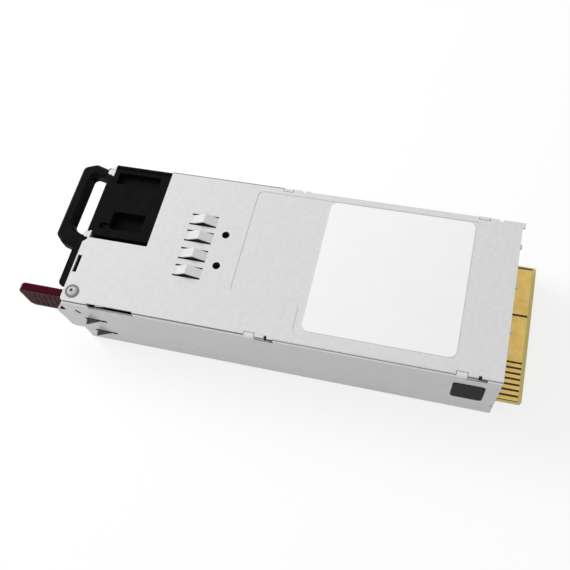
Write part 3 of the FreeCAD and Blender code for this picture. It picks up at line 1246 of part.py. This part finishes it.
def main_transformer_core():
    x, y = XFMR
    z0 = PCB_TOP + XFMR_LIFT
    core = block(x, y, XFMR_SIZE, z0)
    half_x = XFMR_SIZE[0] / 2
    half_y = XFMR_SIZE[1] / 2
    post = XFMR_SIZE[1] / 2 - XFMR_YOKE - XFMR_WINDOW
    cuts = []
    for side in (-1, 1):
        low = y + side * post
        high = y + side * (half_y - XFMR_YOKE)
        cuts.append(box(x - half_x - CUT, x + half_x + CUT, min(low, high), max(low, high),
                        z0 + XFMR_YOKE, z0 + XFMR_SIZE[2] - XFMR_YOKE))
    return core.cut(cuts).removeSplitter()


def main_transformer_winding():
    x, y = XFMR
    z0 = PCB_TOP + XFMR_LIFT + XFMR_YOKE
    z1 = PCB_TOP + XFMR_LIFT + XFMR_SIZE[2] - XFMR_YOKE
    post = XFMR_SIZE[1] / 2 - XFMR_YOKE - XFMR_WINDOW
    half_x = XFMR_SIZE[0] / 2
    reach = half_x + XFMR_WINDOW - 2.2
    outer = prism_z(rect(x - reach, x + reach, y - post - XFMR_WINDOW, y + post + XFMR_WINDOW), 4.0, z0, z1)
    return outer.cut(box(x - half_x, x + half_x, y - post, y + post, z0 - CUT, z1 + CUT))


def standby_transformer():
    x, y = STANDBY
    core = block(x, y, STANDBY_SIZE, PCB_TOP)
    return core.makeChamfer(0.6, [e for e in core.Edges if e.CenterOfMass.z > PCB_TOP + 0.01])


def output_capacitors():
    cans = []
    for x in OUT_CAPS_X:
        for y in OUT_CAPS_Y:
            cans.append(cyl_z(x, y, PCB_TOP, PCB_TOP + OUT_CAP_H, OUT_CAP_R))
    return Part.makeCompound(cans)


def output_busbars():
    bars = []
    for x0, x1 in BUSBARS:
        foot = box(x0, x1, BUS_Y[0], BUS_Y[1], PCB_TOP, PCB_TOP + 1.2)
        wall = box(x0, x1, BUS_Y[0], BUS_Y[0] + 1.2, PCB_TOP, PCB_TOP + BUS_H)
        bar = one([foot, wall])
        slots = []
        for k in (1, 2, 3):
            middle = x0 + (x1 - x0) * k / 4
            slots.append(box(middle - BUS_SLOT_W / 2, middle + BUS_SLOT_W / 2, BUS_Y[0] - CUT, BUS_Y[1] + CUT,
                             PCB_TOP + 3.0, PCB_TOP + BUS_H - 2.0))
        bars.append(bar.cut(slots).removeSplitter())
    return Part.makeCompound(bars)


def control_card():
    points = rect(CARD_Y[0], CARD_Y[1], PCB_TOP, PCB_TOP + CARD_H)
    return prism_x(points, [0, 0, 1.0, 1.0], CARD_X - CARD_T, CARD_X)


def control_chips():
    chips = []
    for y, z, length, height in CARD_CHIPS:
        x1 = CARD_X - CARD_T
        chip = box(x1 - CHIP_T, x1, y - length / 2, y + length / 2, z - height / 2, z + height / 2)
        chips.append(chip.makeChamfer(0.3, edges_along(chip, 1, lambda c: c.x < x1 - CHIP_T + 0.01)))
    return Part.makeCompound(chips)


NODES = {
    "chassis_tray": chassis_tray,
    "top_cover": top_cover,
    "front_panel": front_panel,
    "rear_panel": rear_panel,
    "cover_rivet": cover_rivet,
    "rating_label": rating_label,
    "side_patch": side_patch,
    "front_bezel": front_bezel,
    "status_led": status_led,
    "ac_inlet_shroud": ac_inlet_shroud,
    "ac_inlet_socket": ac_inlet_socket,
    "inlet_blades": inlet_blades,
    "inlet_leads": inlet_leads,
    "release_lever": release_lever,
    "latch_hooks": latch_hooks,
    "latch_rivets": latch_rivets,
    "lever_pivot_pin": lever_pivot_pin,
    "lever_spring": lever_spring,
    "fan_frame": fan_frame,
    "fan_rotor": fan_rotor,
    "fan_shaft": fan_shaft,
    "fan_stator": fan_stator,
    "fan_baffle": fan_baffle,
    "fan_screws": fan_screws,
    "main_pcb": main_pcb,
    "power_pads": power_pads,
    "signal_pads": signal_pads,
    "pcb_standoffs": pcb_standoffs,
    "pcb_screws": pcb_screws,
    "insulation_film": insulation_film,
    "emi_choke_base": emi_choke_base,
    "emi_choke_core": emi_choke_core,
    "emi_choke_windings": emi_choke_windings,
    "pfc_choke_base": pfc_choke_base,
    "pfc_choke_core": pfc_choke_core,
    "pfc_choke_winding": pfc_choke_winding,
    "x_capacitor": x_capacitor,
    "y_capacitors": y_capacitors,
    "fuse": fuse,
    "fuse_clips": fuse_clips,
    "inrush_relay": inrush_relay,
    "bulk_capacitors": bulk_capacitors,
    "primary_heatsink": primary_heatsink,
    "power_transistors": power_transistors,
    "bridge_rectifier": bridge_rectifier,
    "main_transformer_core": main_transformer_core,
    "main_transformer_winding": main_transformer_winding,
    "standby_transformer": standby_transformer,
    "secondary_heatsink": secondary_heatsink,
    "output_capacitors": output_capacitors,
    "output_busbars": output_busbars,
    "control_card": control_card,
    "control_chips": control_chips,
}

os.makedirs("parts", exist_ok=True)
for name, make in NODES.items():
    make().exportStep("parts/" + name + ".step")
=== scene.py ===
import json
import math

import bmesh
import bpy
from mathutils import Matrix, Vector


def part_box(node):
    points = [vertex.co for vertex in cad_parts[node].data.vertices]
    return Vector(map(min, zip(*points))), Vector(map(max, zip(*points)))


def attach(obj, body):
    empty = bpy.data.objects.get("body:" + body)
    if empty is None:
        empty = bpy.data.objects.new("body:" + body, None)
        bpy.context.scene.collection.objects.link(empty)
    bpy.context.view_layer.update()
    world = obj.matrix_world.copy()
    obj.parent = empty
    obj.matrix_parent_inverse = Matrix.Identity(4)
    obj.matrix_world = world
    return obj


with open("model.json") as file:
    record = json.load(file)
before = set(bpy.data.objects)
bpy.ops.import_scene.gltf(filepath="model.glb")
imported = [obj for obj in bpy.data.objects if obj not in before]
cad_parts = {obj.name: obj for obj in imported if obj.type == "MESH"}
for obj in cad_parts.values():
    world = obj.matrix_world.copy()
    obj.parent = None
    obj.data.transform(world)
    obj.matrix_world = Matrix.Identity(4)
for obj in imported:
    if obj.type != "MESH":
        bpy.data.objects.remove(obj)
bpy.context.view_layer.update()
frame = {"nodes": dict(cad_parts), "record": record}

MM = 0.001
NODES = frame["nodes"]
CASE_LOW, CASE_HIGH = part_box("chassis_tray")
COVER_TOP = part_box("rating_label")[1].z


# ------------------------------------------------------------------ node helpers

NOISE_ROUGHNESS = 0.55
NOISE_RANGE = (0.35, 0.65)  # where most values of a noise texture lie
MIX_COLORS = (6, 7)  # the colour sockets of a mix node
MIX_RESULT = 2
SHADER_SETTINGS = {
    "metallic": "Metallic",
    "specular": "Specular IOR Level",
    "transmission": "Transmission Weight",
}


class Graph:
    """A node tree, with helpers that add and wire nodes."""

    def __init__(self, tree):
        self.tree = tree

    def node(self, kind, **settings):
        made = self.tree.nodes.new(kind)
        for key, value in settings.items():
            setattr(made, key, value)
        return made

    def feed(self, socket, source):
        """Gives an input either another node's output or a fixed value."""
        if isinstance(source, bpy.types.NodeSocket):
            self.tree.links.new(source, socket)
        else:
            socket.default_value = source

    def compute(self, operation, *terms, clamp=False):
        made = self.node("ShaderNodeMath", operation=operation, use_clamp=clamp)
        for socket, term in zip(made.inputs, terms):
            self.feed(socket, term)
        return made.outputs["Value"]

    def spread(self, value, low, high, span=(0.0, 1.0)):
        """Stretches the values of a span over low to high."""
        made = self.node("ShaderNodeMapRange")
        for name, source in zip(("From Min", "From Max", "To Min", "To Max"), (*span, low, high)):
            made.inputs[name].default_value = source
        self.feed(made.inputs["Value"], value)
        return made.outputs["Result"]

    def mix(self, share, first, second):
        """A colour between two colours, each an output or three numbers."""
        made = self.node("ShaderNodeMix", data_type="RGBA")
        self.feed(made.inputs[0], share)
        for place, color in zip(MIX_COLORS, (first, second)):
            self.feed(made.inputs[place], color if isinstance(color, bpy.types.NodeSocket) else (*color, 1.0))
        return made.outputs[MIX_RESULT]


class Shader(Graph):
    """One procedural material on a Principled shader."""

    def __init__(self, name, color, roughness, **settings):
        self.material = bpy.data.materials.new(name)
        self.material.use_nodes = True
        super().__init__(self.material.node_tree)
        self.sockets = self.tree.nodes["Principled BSDF"].inputs
        self.sockets["Base Color"].default_value = (*color, 1.0)
        self.sockets["Roughness"].default_value = roughness
        for key, value in settings.items():
            self.sockets[SHADER_SETTINGS[key]].default_value = value
        self.point = self.node("ShaderNodeTexCoord").outputs["Object"]

    def noise(self, scale, detail=3.0, stretch=(1, 1, 1)):
        """Noise at a scale given in features per metre."""
        mapping = self.node("ShaderNodeMapping")
        mapping.inputs["Scale"].default_value = stretch
        self.feed(mapping.inputs["Vector"], self.point)
        made = self.node("ShaderNodeTexNoise")
        made.inputs["Scale"].default_value = scale
        made.inputs["Detail"].default_value = detail
        made.inputs["Roughness"].default_value = NOISE_ROUGHNESS
        self.feed(made.inputs["Vector"], mapping.outputs["Vector"])
        return made.outputs["Fac"]

    def tint(self, noise, dark, light):
        """Lets the base colour wander between two colours."""
        share = self.spread(noise, 0.0, 1.0, NOISE_RANGE)
        self.feed(self.sockets["Base Color"], self.mix(share, dark, light))

    def gloss(self, noise, low, high):
        """Lets the roughness wander between two values."""
        self.feed(self.sockets["Roughness"], self.spread(noise, low, high, NOISE_RANGE))

    def relief(self, noise, height):
        made = self.node("ShaderNodeBump")
        made.inputs["Strength"].default_value = 1.0
        made.inputs["Distance"].default_value = height
        self.feed(made.inputs["Height"], noise)
        self.feed(self.sockets["Normal"], made.outputs["Normal"])

    def place(self):
        """The point's x, y, z and its distance from the middle plane."""
        split = self.node("ShaderNodeSeparateXYZ")
        self.feed(split.inputs["Vector"], self.point)
        x, y, z = split.outputs
        return x, y, z, self.compute("ABSOLUTE", x)

    def between(self, coordinate, low, high):
        """1 where the coordinate lies between two values, else 0."""
        return self.compute("COMPARE", coordinate, (low + high) / 2, (high - low) / 2)

    def both(self, one, other):
        return self.compute("MULTIPLY", one, other)

    def disc(self, x, y, radius):
        """1 within a radius of an upright axis, else 0."""
        flat = self.node("ShaderNodeVectorMath", operation="MULTIPLY")
        self.feed(flat.inputs[0], self.point)
        flat.inputs[1].default_value = (1, 1, 0)
        away = self.node("ShaderNodeVectorMath", operation="DISTANCE")
        self.feed(away.inputs[0], flat.outputs["Vector"])
        away.inputs[1].default_value = (x, y, 0)
        return self.compute("LESS_THAN", away.outputs["Value"], radius)

    def paint(self, mask, color):
        """Lays a colour over the base colour where the mask is 1."""
        below = self.sockets["Base Color"].links[0].from_socket
        self.feed(self.sockets["Base Color"], self.mix(mask, below, color))


# ------------------------------------------------------------------ plain materials

# Each row: base colour, roughness, then the noise scale and range of colour, of gloss and of relief.
SURFACES = {
    "bright_steel": dict(
        color=(0.72, 0.72, 0.73), roughness=0.2, metallic=1.0,
        tint=(700, (0.66, 0.66, 0.67), (0.78, 0.78, 0.78)), gloss=(420, 0.14, 0.28)),
    "blackened_steel": dict(
        color=(0.09, 0.09, 0.092), roughness=0.42, metallic=0.6,
        tint=(500, (0.07, 0.07, 0.072), (0.115, 0.115, 0.118)), gloss=(700, 0.34, 0.5)),
    "rivet_steel": dict(
        color=(0.56, 0.56, 0.57), roughness=0.3, metallic=0.55,
        tint=(900, (0.52, 0.52, 0.53), (0.60, 0.60, 0.61)), gloss=(1200, 0.24, 0.36)),
    "spring_steel": dict(
        color=(0.74, 0.73, 0.70), roughness=0.22, metallic=1.0, gloss=(1500, 0.15, 0.3)),
    "gold_plate": dict(
        color=(0.76, 0.52, 0.15), roughness=0.34, metallic=0.7,
        tint=(260, (0.72, 0.485, 0.135), (0.80, 0.555, 0.165)), gloss=(500, 0.26, 0.4)),
    "black_plastic": dict(
        color=(0.006, 0.006, 0.0065), roughness=0.5, specular=0.035,
        tint=(300, (0.0048, 0.0048, 0.0051), (0.0074, 0.0074, 0.0078)), gloss=(600, 0.44, 0.56),
        relief=(5200, 4.0, 0.02 * MM)),
    "inlet_plastic": dict(
        color=(0.0055, 0.0055, 0.006), roughness=0.55, specular=0.03,
        tint=(240, (0.0045, 0.0045, 0.0048), (0.0068, 0.0068, 0.0072)), gloss=(500, 0.44, 0.58),
        relief=(4200, 4.0, 0.02 * MM)),
    "maroon_plastic": dict(
        color=(0.052, 0.004, 0.010), roughness=0.48, specular=0.025,
        tint=(220, (0.046, 0.0032, 0.0085), (0.059, 0.005, 0.012)), gloss=(500, 0.36, 0.5),
        relief=(4600, 4.0, 0.02 * MM)),
    "label_white": dict(
        color=(0.905, 0.905, 0.902), roughness=0.45, specular=0.2,
        tint=(60, (0.898, 0.898, 0.894), (0.912, 0.912, 0.909)), gloss=(900, 0.40, 0.50),
        relief=(3000, 3.0, 0.004 * MM)),
    "patch_dark": dict(
        color=(0.011, 0.011, 0.012), roughness=0.45, specular=0.025,
        tint=(300, (0.009, 0.009, 0.010), (0.0135, 0.0135, 0.0145)), gloss=(800, 0.34, 0.46)),
    "led_lens": dict(
        color=(0.62, 0.86, 0.66), roughness=0.25, transmission=0.35, gloss=(900, 0.2, 0.35)),
}

# Parts inside the casing: base colour, roughness, contrast of the colour, noise scale, metallic.
INNER_SURFACES = {
    "tinned_brass": ((0.70, 0.69, 0.66), 0.25, 0.06, 500, 1.0),
    "lead_sleeve": ((0.10, 0.10, 0.11), 0.4, 0.15, 400, 0.0),
    "fan_plastic": ((0.03, 0.03, 0.032), 0.42, 0.15, 300, 0.0),
    "card_laminate": ((0.045, 0.15, 0.06), 0.4, 0.15, 900, 0.0),
    "film": ((0.70, 0.64, 0.44), 0.25, 0.05, 120, 0.0),
    "ferrite": ((0.06, 0.06, 0.065), 0.55, 0.2, 900, 0.0),
    "iron_powder": ((0.09, 0.20, 0.28), 0.45, 0.15, 600, 0.0),
    "copper_bar": ((0.76, 0.42, 0.24), 0.3, 0.1, 300, 1.0),
    "yellow_case": ((0.72, 0.58, 0.11), 0.3, 0.08, 300, 0.0),
    "blue_disc": ((0.09, 0.24, 0.54), 0.35, 0.1, 500, 0.0),
    "fuse_ceramic": ((0.80, 0.78, 0.72), 0.45, 0.05, 500, 0.0),
    "relay_case": ((0.05, 0.06, 0.07), 0.4, 0.12, 300, 0.0),
    "can_sleeve": ((0.03, 0.035, 0.06), 0.25, 0.12, 200, 0.0),
    "can_aluminium": ((0.72, 0.73, 0.75), 0.3, 0.06, 500, 1.0),
    "sink_aluminium": ((0.66, 0.67, 0.69), 0.35, 0.08, 500, 1.0),
    "package_black": ((0.04, 0.04, 0.042), 0.5, 0.15, 500, 0.0),
    "tape_yellow": ((0.76, 0.60, 0.17), 0.35, 0.08, 400, 0.0),
}
INNER_GLOSS_SPAN = 0.06
INNER_GLOSS_SCALE = 1.7  # gloss and relief are finer than the colour by these factors
INNER_RELIEF_SCALE = 6.0
INNER_RELIEF = (4.0, 0.01 * MM)


def surface(name, color, roughness, gloss, tint=None, relief=None, **settings):
    """A material whose colour, gloss and relief vary a little, as those of any real surface do."""
    made = Shader(name, color, roughness, **settings)
    if tint:
        scale, dark, light = tint
        made.tint(made.noise(scale), dark, light)
    scale, low, high = gloss
    made.gloss(made.noise(scale), low, high)
    if relief:
        scale, detail, height = relief
        made.relief(made.noise(scale, detail), height)
    return made


def inner_surface(name, color, roughness, contrast, scale, metallic):
    dark = tuple(value * (1 - contrast) for value in color)
    light = tuple(value * (1 + contrast) for value in color)
    return surface(name, color, roughness, metallic=metallic, tint=(scale, dark, light),
                   gloss=(scale * INNER_GLOSS_SCALE, roughness - INNER_GLOSS_SPAN, roughness + INNER_GLOSS_SPAN),
                   relief=(scale * INNER_RELIEF_SCALE, *INNER_RELIEF))


# ------------------------------------------------------------------ materials with marks of their own

# Places in mm, as they are in the CAD source.
COVER_HOLES = ((-7.5, -28.9), (7.0, -28.9))
COVER_HOLE_R = 1.62
BRIDGES_X = (-12.6, -4.7, 3.8, 11.8)
BRIDGES_Y = (-45.85, -33.95)
BRIDGE_HALF = 2.75
LOCKS_Y = ((-10.1, -6.1), (71.2, 75.2))
LOCK_TAB_W = 1.4
# The near wall's ear hole, slanted slot and two hook slits: lowest and highest y, lowest and highest z.
EAR_OPENINGS = (
    (-93.2, -89.3, 28.4, 33.9),
    (-85.9, -82.6, 27.2, 31.2),
    (-84.5, -71.0, 21.8, 24.1),
    (-84.5, -71.0, 9.2, 11.6),
)

SHEET = 0.8 * MM
SEAM_Z = COVER_TOP - SHEET
SEAM_DROP = 1.0 * MM  # how far down the edge of a locking tab is dark
PAST = 1.0 * MM  # how far a mask runs past the end of the piece
EDGE_SKIN = 0.14 * MM  # the depth of a mask that covers one face
FLAT_EDGE = 0.38 * MM
OUTLINE = 0.22 * MM
WALL_DEPTH = 2.0 * MM
BEND_BAND = 1.7 * MM
RIVET_FLANGE = 0.42 * MM
GRIP_SKIN = 0.32 * MM
TONGUE_GAP = 0.2 * MM
RIM_GAP = 0.3 * MM

# partly real bare sheared steel, partly painted shade of the seam gaps beside it
SHEARED_EDGE_AND_GAP_SHADE = (0.17, 0.17, 0.175)
# painted shade: near black, laid where shade falls in holes, slits and openings
PAINTED_HOLE_SHADE = (0.01, 0.01, 0.01)
# painted highlight: the light the rounded bend under the cover catches
PAINTED_BEND_HIGHLIGHT = (0.90, 0.90, 0.90)
# painted shade: the rivet's flange, darker than its dome in place of its reflection and shade
PAINTED_FLANGE_SHADE = (0.20, 0.20, 0.205)
# painted sheen: the lighter look of the lever's side faces in the light
PAINTED_GRIP_SHEEN = (0.115, 0.016, 0.027)
TONGUE_DARK = (0.030, 0.015, 0.007)
TONGUE_RIM = (0.88, 0.75, 0.27)


def zinc_sheet(name="zinc_steel"):
    """Zinc-coated steel: pale, with the fine even mottle of its skin-passed coating."""
    made = Shader(name, (0.68, 0.68, 0.685), 0.4, metallic=0.25)
    made.tint(made.noise(520, detail=4.0), (0.66, 0.661, 0.665), (0.70, 0.70, 0.704))
    made.gloss(made.noise(260, detail=4.0), 0.32, 0.46)
    made.relief(made.noise(900, detail=5.0), 0.012 * MM)
    return made


def holed_sheet(name):
    """Sheet with the two round holes behind the bridges, with near-black painted shade in discs where the holes
    are dark inside.
    """
    made = zinc_sheet(name)
    # painted shade in each hole, on the cover and on the baffle flange under it
    for x, y in COVER_HOLES:
        made.paint(made.disc(x * MM, y * MM, COVER_HOLE_R * MM), PAINTED_HOLE_SHADE)
    return made


def cover_sheet():
    """The cover: its sheared edges are bare, darker steel; painted shade lies in the seam groove, round the
    locking tabs and on the walls of its openings.
    """
    made = holed_sheet("zinc_cover")
    x, y, z, aside = made.place()
    below_top = made.between(z, SEAM_Z - SEAM_DROP, COVER_TOP - EDGE_SKIN)

    rim = CASE_HIGH.x + EDGE_SKIN
    side_face = made.between(aside, CASE_HIGH.x - EDGE_SKIN, rim)
    made.paint(made.both(side_face, below_top), SHEARED_EDGE_AND_GAP_SHADE)
    # painted shade in the seam groove along the near top edge
    front_run = made.between(y, CASE_LOW.y - PAST, LOCKS_Y[0][0] * MM)
    made.paint(made.both(front_run, made.between(aside, CASE_HIGH.x - FLAT_EDGE, rim)), SHEARED_EDGE_AND_GAP_SHADE)
    # painted shade in the gaps round the locking tabs
    for start, end in LOCKS_Y:
        along = made.between(y, start * MM - OUTLINE, end * MM + OUTLINE)
        across = made.between(aside, CASE_HIGH.x - LOCK_TAB_W * MM - OUTLINE, rim)
        made.paint(made.both(along, across), SHEARED_EDGE_AND_GAP_SHADE)

    # painted shade on the walls and undersides of the bridge openings
    bridge_walls = made.both(made.between(y, BRIDGES_Y[0] * MM, BRIDGES_Y[1] * MM), below_top)
    for middle in BRIDGES_X:
        across = made.between(x, (middle - BRIDGE_HALF) * MM, (middle + BRIDGE_HALF) * MM)
        made.paint(made.both(across, bridge_walls), PAINTED_HOLE_SHADE)
    return made


def tray_sheet():
    """The tray: a painted highlight along the bend under the cover, and painted shade in the walls of the small
    openings.
    """
    made = zinc_sheet("zinc_tray")
    x, y, z, aside = made.place()
    in_wall = made.between(x, CASE_HIGH.x - WALL_DEPTH, CASE_HIGH.x - EDGE_SKIN)
    # painted shade in the walls of the ear hole, the slanted slot and the hook slits
    for y_low, y_high, z_low, z_high in EAR_OPENINGS:
        across = made.both(made.between(y, y_low * MM, y_high * MM), made.between(z, z_low * MM, z_high * MM))
        made.paint(made.both(in_wall, across), PAINTED_HOLE_SHADE)
    # painted highlight along the top of the near wall, where the bend catches the light
    side_face = made.between(aside, CASE_HIGH.x - EDGE_SKIN, CASE_HIGH.x + EDGE_SKIN)
    bend = made.between(z, SEAM_Z - BEND_BAND, SEAM_Z + PAST)
    made.paint(made.both(side_face, bend), PAINTED_BEND_HIGHLIGHT)
    return made


def paint_flange_shade(made):
    """The rivet's flange is painted darker than its dome: painted shade and darker reflection."""
    z = made.place()[2]
    made.paint(made.between(z, COVER_TOP - PAST, COVER_TOP + RIVET_FLANGE), PAINTED_FLANGE_SHADE)


def paint_grip_sheen(made):
    """The lever's grip faces outside the casing are painted a lighter maroon: a painted sheen for the light
    these side faces catch.
    """
    x, y, _, _ = made.place()
    low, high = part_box("release_lever")
    outside = made.between(y, low.y - PAST, CASE_LOW.y)
    for side in (low.x, high.x):
        made.paint(made.both(outside, made.between(x, side - GRIP_SKIN, side + GRIP_SKIN)), PAINTED_GRIP_SHEEN)


def board_laminate():
    """Green solder mask inside the casing; the tongue is dark round its pads, with a bare pale rim."""
    made = Shader("laminate", (0.05, 0.17, 0.07), 0.4, specular=0.3)
    weave = made.noise(1400, detail=2.0)
    made.tint(weave, (0.035, 0.13, 0.05), (0.055, 0.18, 0.075))
    made.relief(weave, 0.01 * MM)
    _, y, _, aside = made.place()
    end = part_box("main_pcb")[1]
    pads_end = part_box("power_pads")[1].y
    pads_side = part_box("signal_pads")[1].x
    tongue = made.between(y, CASE_HIGH.y + TONGUE_GAP, end.y + PAST)
    made.paint(tongue, TONGUE_DARK)
    made.paint(made.both(tongue, made.between(aside, pads_side + RIM_GAP, end.x)), TONGUE_RIM)
    made.paint(made.between(y, pads_end, end.y + PAST), TONGUE_RIM)
    return made


def copper_wire():
    """Enamelled copper wire, drawn out along its turns."""
    made = Shader("copper_wire", (0.66, 0.28, 0.11), 0.28, metallic=0.85)
    made.tint(made.noise(900, stretch=(1, 1, 0.1)), (0.50, 0.19, 0.07), (0.74, 0.34, 0.14))
    made.gloss(made.noise(700), 0.22, 0.36)
    return made


def all_materials():
    """A material for every slot in the record, and the rivet's."""
    made = {name: surface(name, **row) for name, row in SURFACES.items()}
    made |= {name: inner_surface(name, *row) for name, row in INNER_SURFACES.items()}
    made |= {"zinc_steel": zinc_sheet(), "laminate": board_laminate(), "copper_wire": copper_wire()}
    paint_grip_sheen(made["maroon_plastic"])
    paint_flange_shade(made["rivet_steel"])
    return {name: shader.material for name, shader in made.items()}


MATERIALS = all_materials()
NODE_MATERIALS = {  # nodes with another material than that of their slot
    "top_cover": cover_sheet().material,
    "chassis_tray": tray_sheet().material,
    "fan_baffle": holed_sheet("zinc_baffle").material,
    "cover_rivet": MATERIALS["rivet_steel"],
}


# ------------------------------------------------------------------ the CAD nodes

BEVEL_ANGLE = math.radians(40)  # edges that turn less than this are left as they are
EDGES = (  # nodes, width of the softened edge in mm, segments
    (("chassis_tray", "top_cover", "front_panel", "rear_panel"), 0.12, 2),
    (("ac_inlet_shroud", "ac_inlet_socket"), 0.25, 2),
    (("front_bezel",), 0.5, 3),
    (("release_lever",), 0.3, 2),
    (("cover_rivet", "latch_hooks", "latch_rivets"), 0.1, 2),
)


def soften(obj, width, segments):
    bevel = obj.modifiers.new("edge", "BEVEL")
    bevel.width = width
    bevel.segments = segments
    bevel.limit_method = "ANGLE"
    bevel.angle_limit = BEVEL_ANGLE
    bevel.harden_normals = False


def dress_nodes():
    """Every CAD node gets a procedural material; those with visible edges get them softened."""
    slots = {part["node"]: part["material_slot"] for part in frame["record"]["subparts"]}
    for name, obj in NODES.items():
        material = NODE_MATERIALS.get(name, MATERIALS[slots[name]])
        if not obj.material_slots:
            obj.data.materials.append(material)
        for place in obj.material_slots:
            place.material = material
    for names, width, segments in EDGES:
        for name in names:
            soften(NODES[name], width * MM, segments)


dress_nodes()


# ------------------------------------------------------------------ small pieces

MANDREL_SIDES = 20
MANDREL_RINGS = (  # radius and height against the rivet's top, in mm
    (0.68, -0.78), (0.68, -0.62), (0.56, -0.52), (0.30, -0.56), (0.12, -0.46),
)


def new_piece(name, material, body="chassis"):
    mesh = bpy.data.meshes.new(name)
    obj = bpy.data.objects.new(name, mesh)
    bpy.context.collection.objects.link(obj)
    mesh.materials.append(material)
    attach(obj, body)
    return obj, mesh


def rivet_mandrel():
    """The broken end of the blind rivet's mandrel, low in its bore."""
    low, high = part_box("cover_rivet")
    middle = (low + high) / 2
    obj, mesh = new_piece("rivet_mandrel", MATERIALS["blackened_steel"])
    shape = bmesh.new()
    rings = []
    for radius, height in MANDREL_RINGS:
        ring = []
        for k in range(MANDREL_SIDES):
            turn = math.tau * k / MANDREL_SIDES
            spot = (middle.x + radius * MM * math.cos(turn), middle.y + radius * MM * math.sin(turn),
                    high.z + height * MM)
            ring.append(shape.verts.new(spot))
        rings.append(ring)
    for lower, upper in zip(rings, rings[1:]):
        for k in range(MANDREL_SIDES):
            after = (k + 1) % MANDREL_SIDES
            shape.faces.new((lower[k], lower[after], upper[after], upper[k]))
    shape.faces.new(rings[-1])
    shape.faces.new(list(reversed(rings[0])))
    shape.to_mesh(mesh)
    shape.free()


rivet_mandrel()


# ------------------------------------------------------------------ floor, light and camera

FLOOR_REACH = 4.0
FLOOR_DROP = 0.2 * MM
FLOOR_COLOR = (0.60, 0.60, 0.60)
FLOOR_SHADOW = 0.22  # how much of the floor's own shading the camera sees under the white
WHITE = (1, 1, 1)
SKY = 0.52
LAMP_AT = Vector((-0.25, -0.65, 0.60))
LAMP_AIM = Vector((0, -0.02, 0.03))
LAMP_SIZE = 0.5
LAMP_POWER = 6.8
CAMERA_AT = Vector((127.87, 60.0, 298.63)) * MM
CAMERA_RIGHT = Vector((-0.2356, 0.9652, -0.1132))
CAMERA_UP = Vector((-0.8840, -0.1645, 0.4376))
CAMERA_LENS = 46.42
CAMERA_SENSOR = 36.0
CAMERA_NEAREST = 0.01


def link_object(name, data):
    obj = bpy.data.objects.new(name, data)
    bpy.context.collection.objects.link(obj)
    return obj


def seen_directly(graph):
    """1 for camera, glossy and transmission rays, 0 for the light that falls on the object."""
    path = graph.node("ShaderNodeLightPath")
    total = path.outputs["Is Camera Ray"]
    for name in ("Is Glossy Ray", "Is Transmission Ray"):
        total = graph.compute("ADD", total, path.outputs[name], clamp=True)
    return total


def pale_floor():
    """A plain floor: near white for the eye with the object's shadow on it, greyer for its bounced light."""
    material = bpy.data.materials.new("pale_floor")
    material.use_nodes = True
    material.node_tree.nodes.clear()
    graph = Graph(material.node_tree)
    direct = seen_directly(graph)
    diffuse = graph.node("ShaderNodeBsdfDiffuse")
    graph.feed(diffuse.inputs["Color"], graph.mix(direct, FLOOR_COLOR, WHITE))
    blend = graph.node("ShaderNodeMixShader")
    graph.feed(blend.inputs[0], graph.compute("MULTIPLY", direct, 1 - FLOOR_SHADOW))
    graph.feed(blend.inputs[1], diffuse.outputs[0])
    graph.feed(blend.inputs[2], graph.node("ShaderNodeEmission").outputs[0])
    graph.feed(graph.node("ShaderNodeOutputMaterial").inputs[0], blend.outputs[0])
    return material


def make_floor():
    mesh = bpy.data.meshes.new("floor")
    corners = [(x * FLOOR_REACH, y * FLOOR_REACH, 0) for x, y in ((-1, -1), (1, -1), (1, 1), (-1, 1))]
    mesh.from_pydata(corners, [], [(0, 1, 2, 3)])
    mesh.materials.append(pale_floor())
    floor = link_object("floor", mesh)
    floor.location.z = -FLOOR_DROP


def make_world():
    """White wherever it is seen, dimmer as a source of light."""
    world = bpy.data.worlds.new("studio")
    bpy.context.scene.world = world
    world.use_nodes = True
    graph = Graph(world.node_tree)
    background = graph.tree.nodes["Background"].inputs
    background["Color"].default_value = (*WHITE, 1)
    graph.feed(background["Strength"], graph.spread(seen_directly(graph), SKY, 1.0))


def make_lamp():
    """A soft lamp, hidden from glossy rays so that it leaves no hot spot."""
    lamp = bpy.data.lights.new("front_lamp", "AREA")
    lamp.shape = "RECTANGLE"
    lamp.size = lamp.size_y = LAMP_SIZE
    lamp.energy = LAMP_POWER
    obj = link_object("front_lamp", lamp)
    obj.location = LAMP_AT
    obj.rotation_euler = (LAMP_AIM - LAMP_AT).to_track_quat("-Z", "Y").to_euler()
    obj.visible_glossy = False


def make_camera():
    data = bpy.data.cameras.new("camera")
    data.lens = CAMERA_LENS
    data.sensor_width = CAMERA_SENSOR
    data.clip_start = CAMERA_NEAREST
    camera = link_object("camera", data)
    right = CAMERA_RIGHT.normalized()
    back = right.cross(CAMERA_UP).normalized()
    up = back.cross(right)
    turn = Matrix((right, up, back)).transposed()
    camera.matrix_world = Matrix.Translation(CAMERA_AT) @ turn.to_4x4()
    bpy.context.scene.camera = camera


make_floor()
make_world()
make_lamp()
make_camera()
bpy.context.scene.view_settings.view_transform = "Standard"
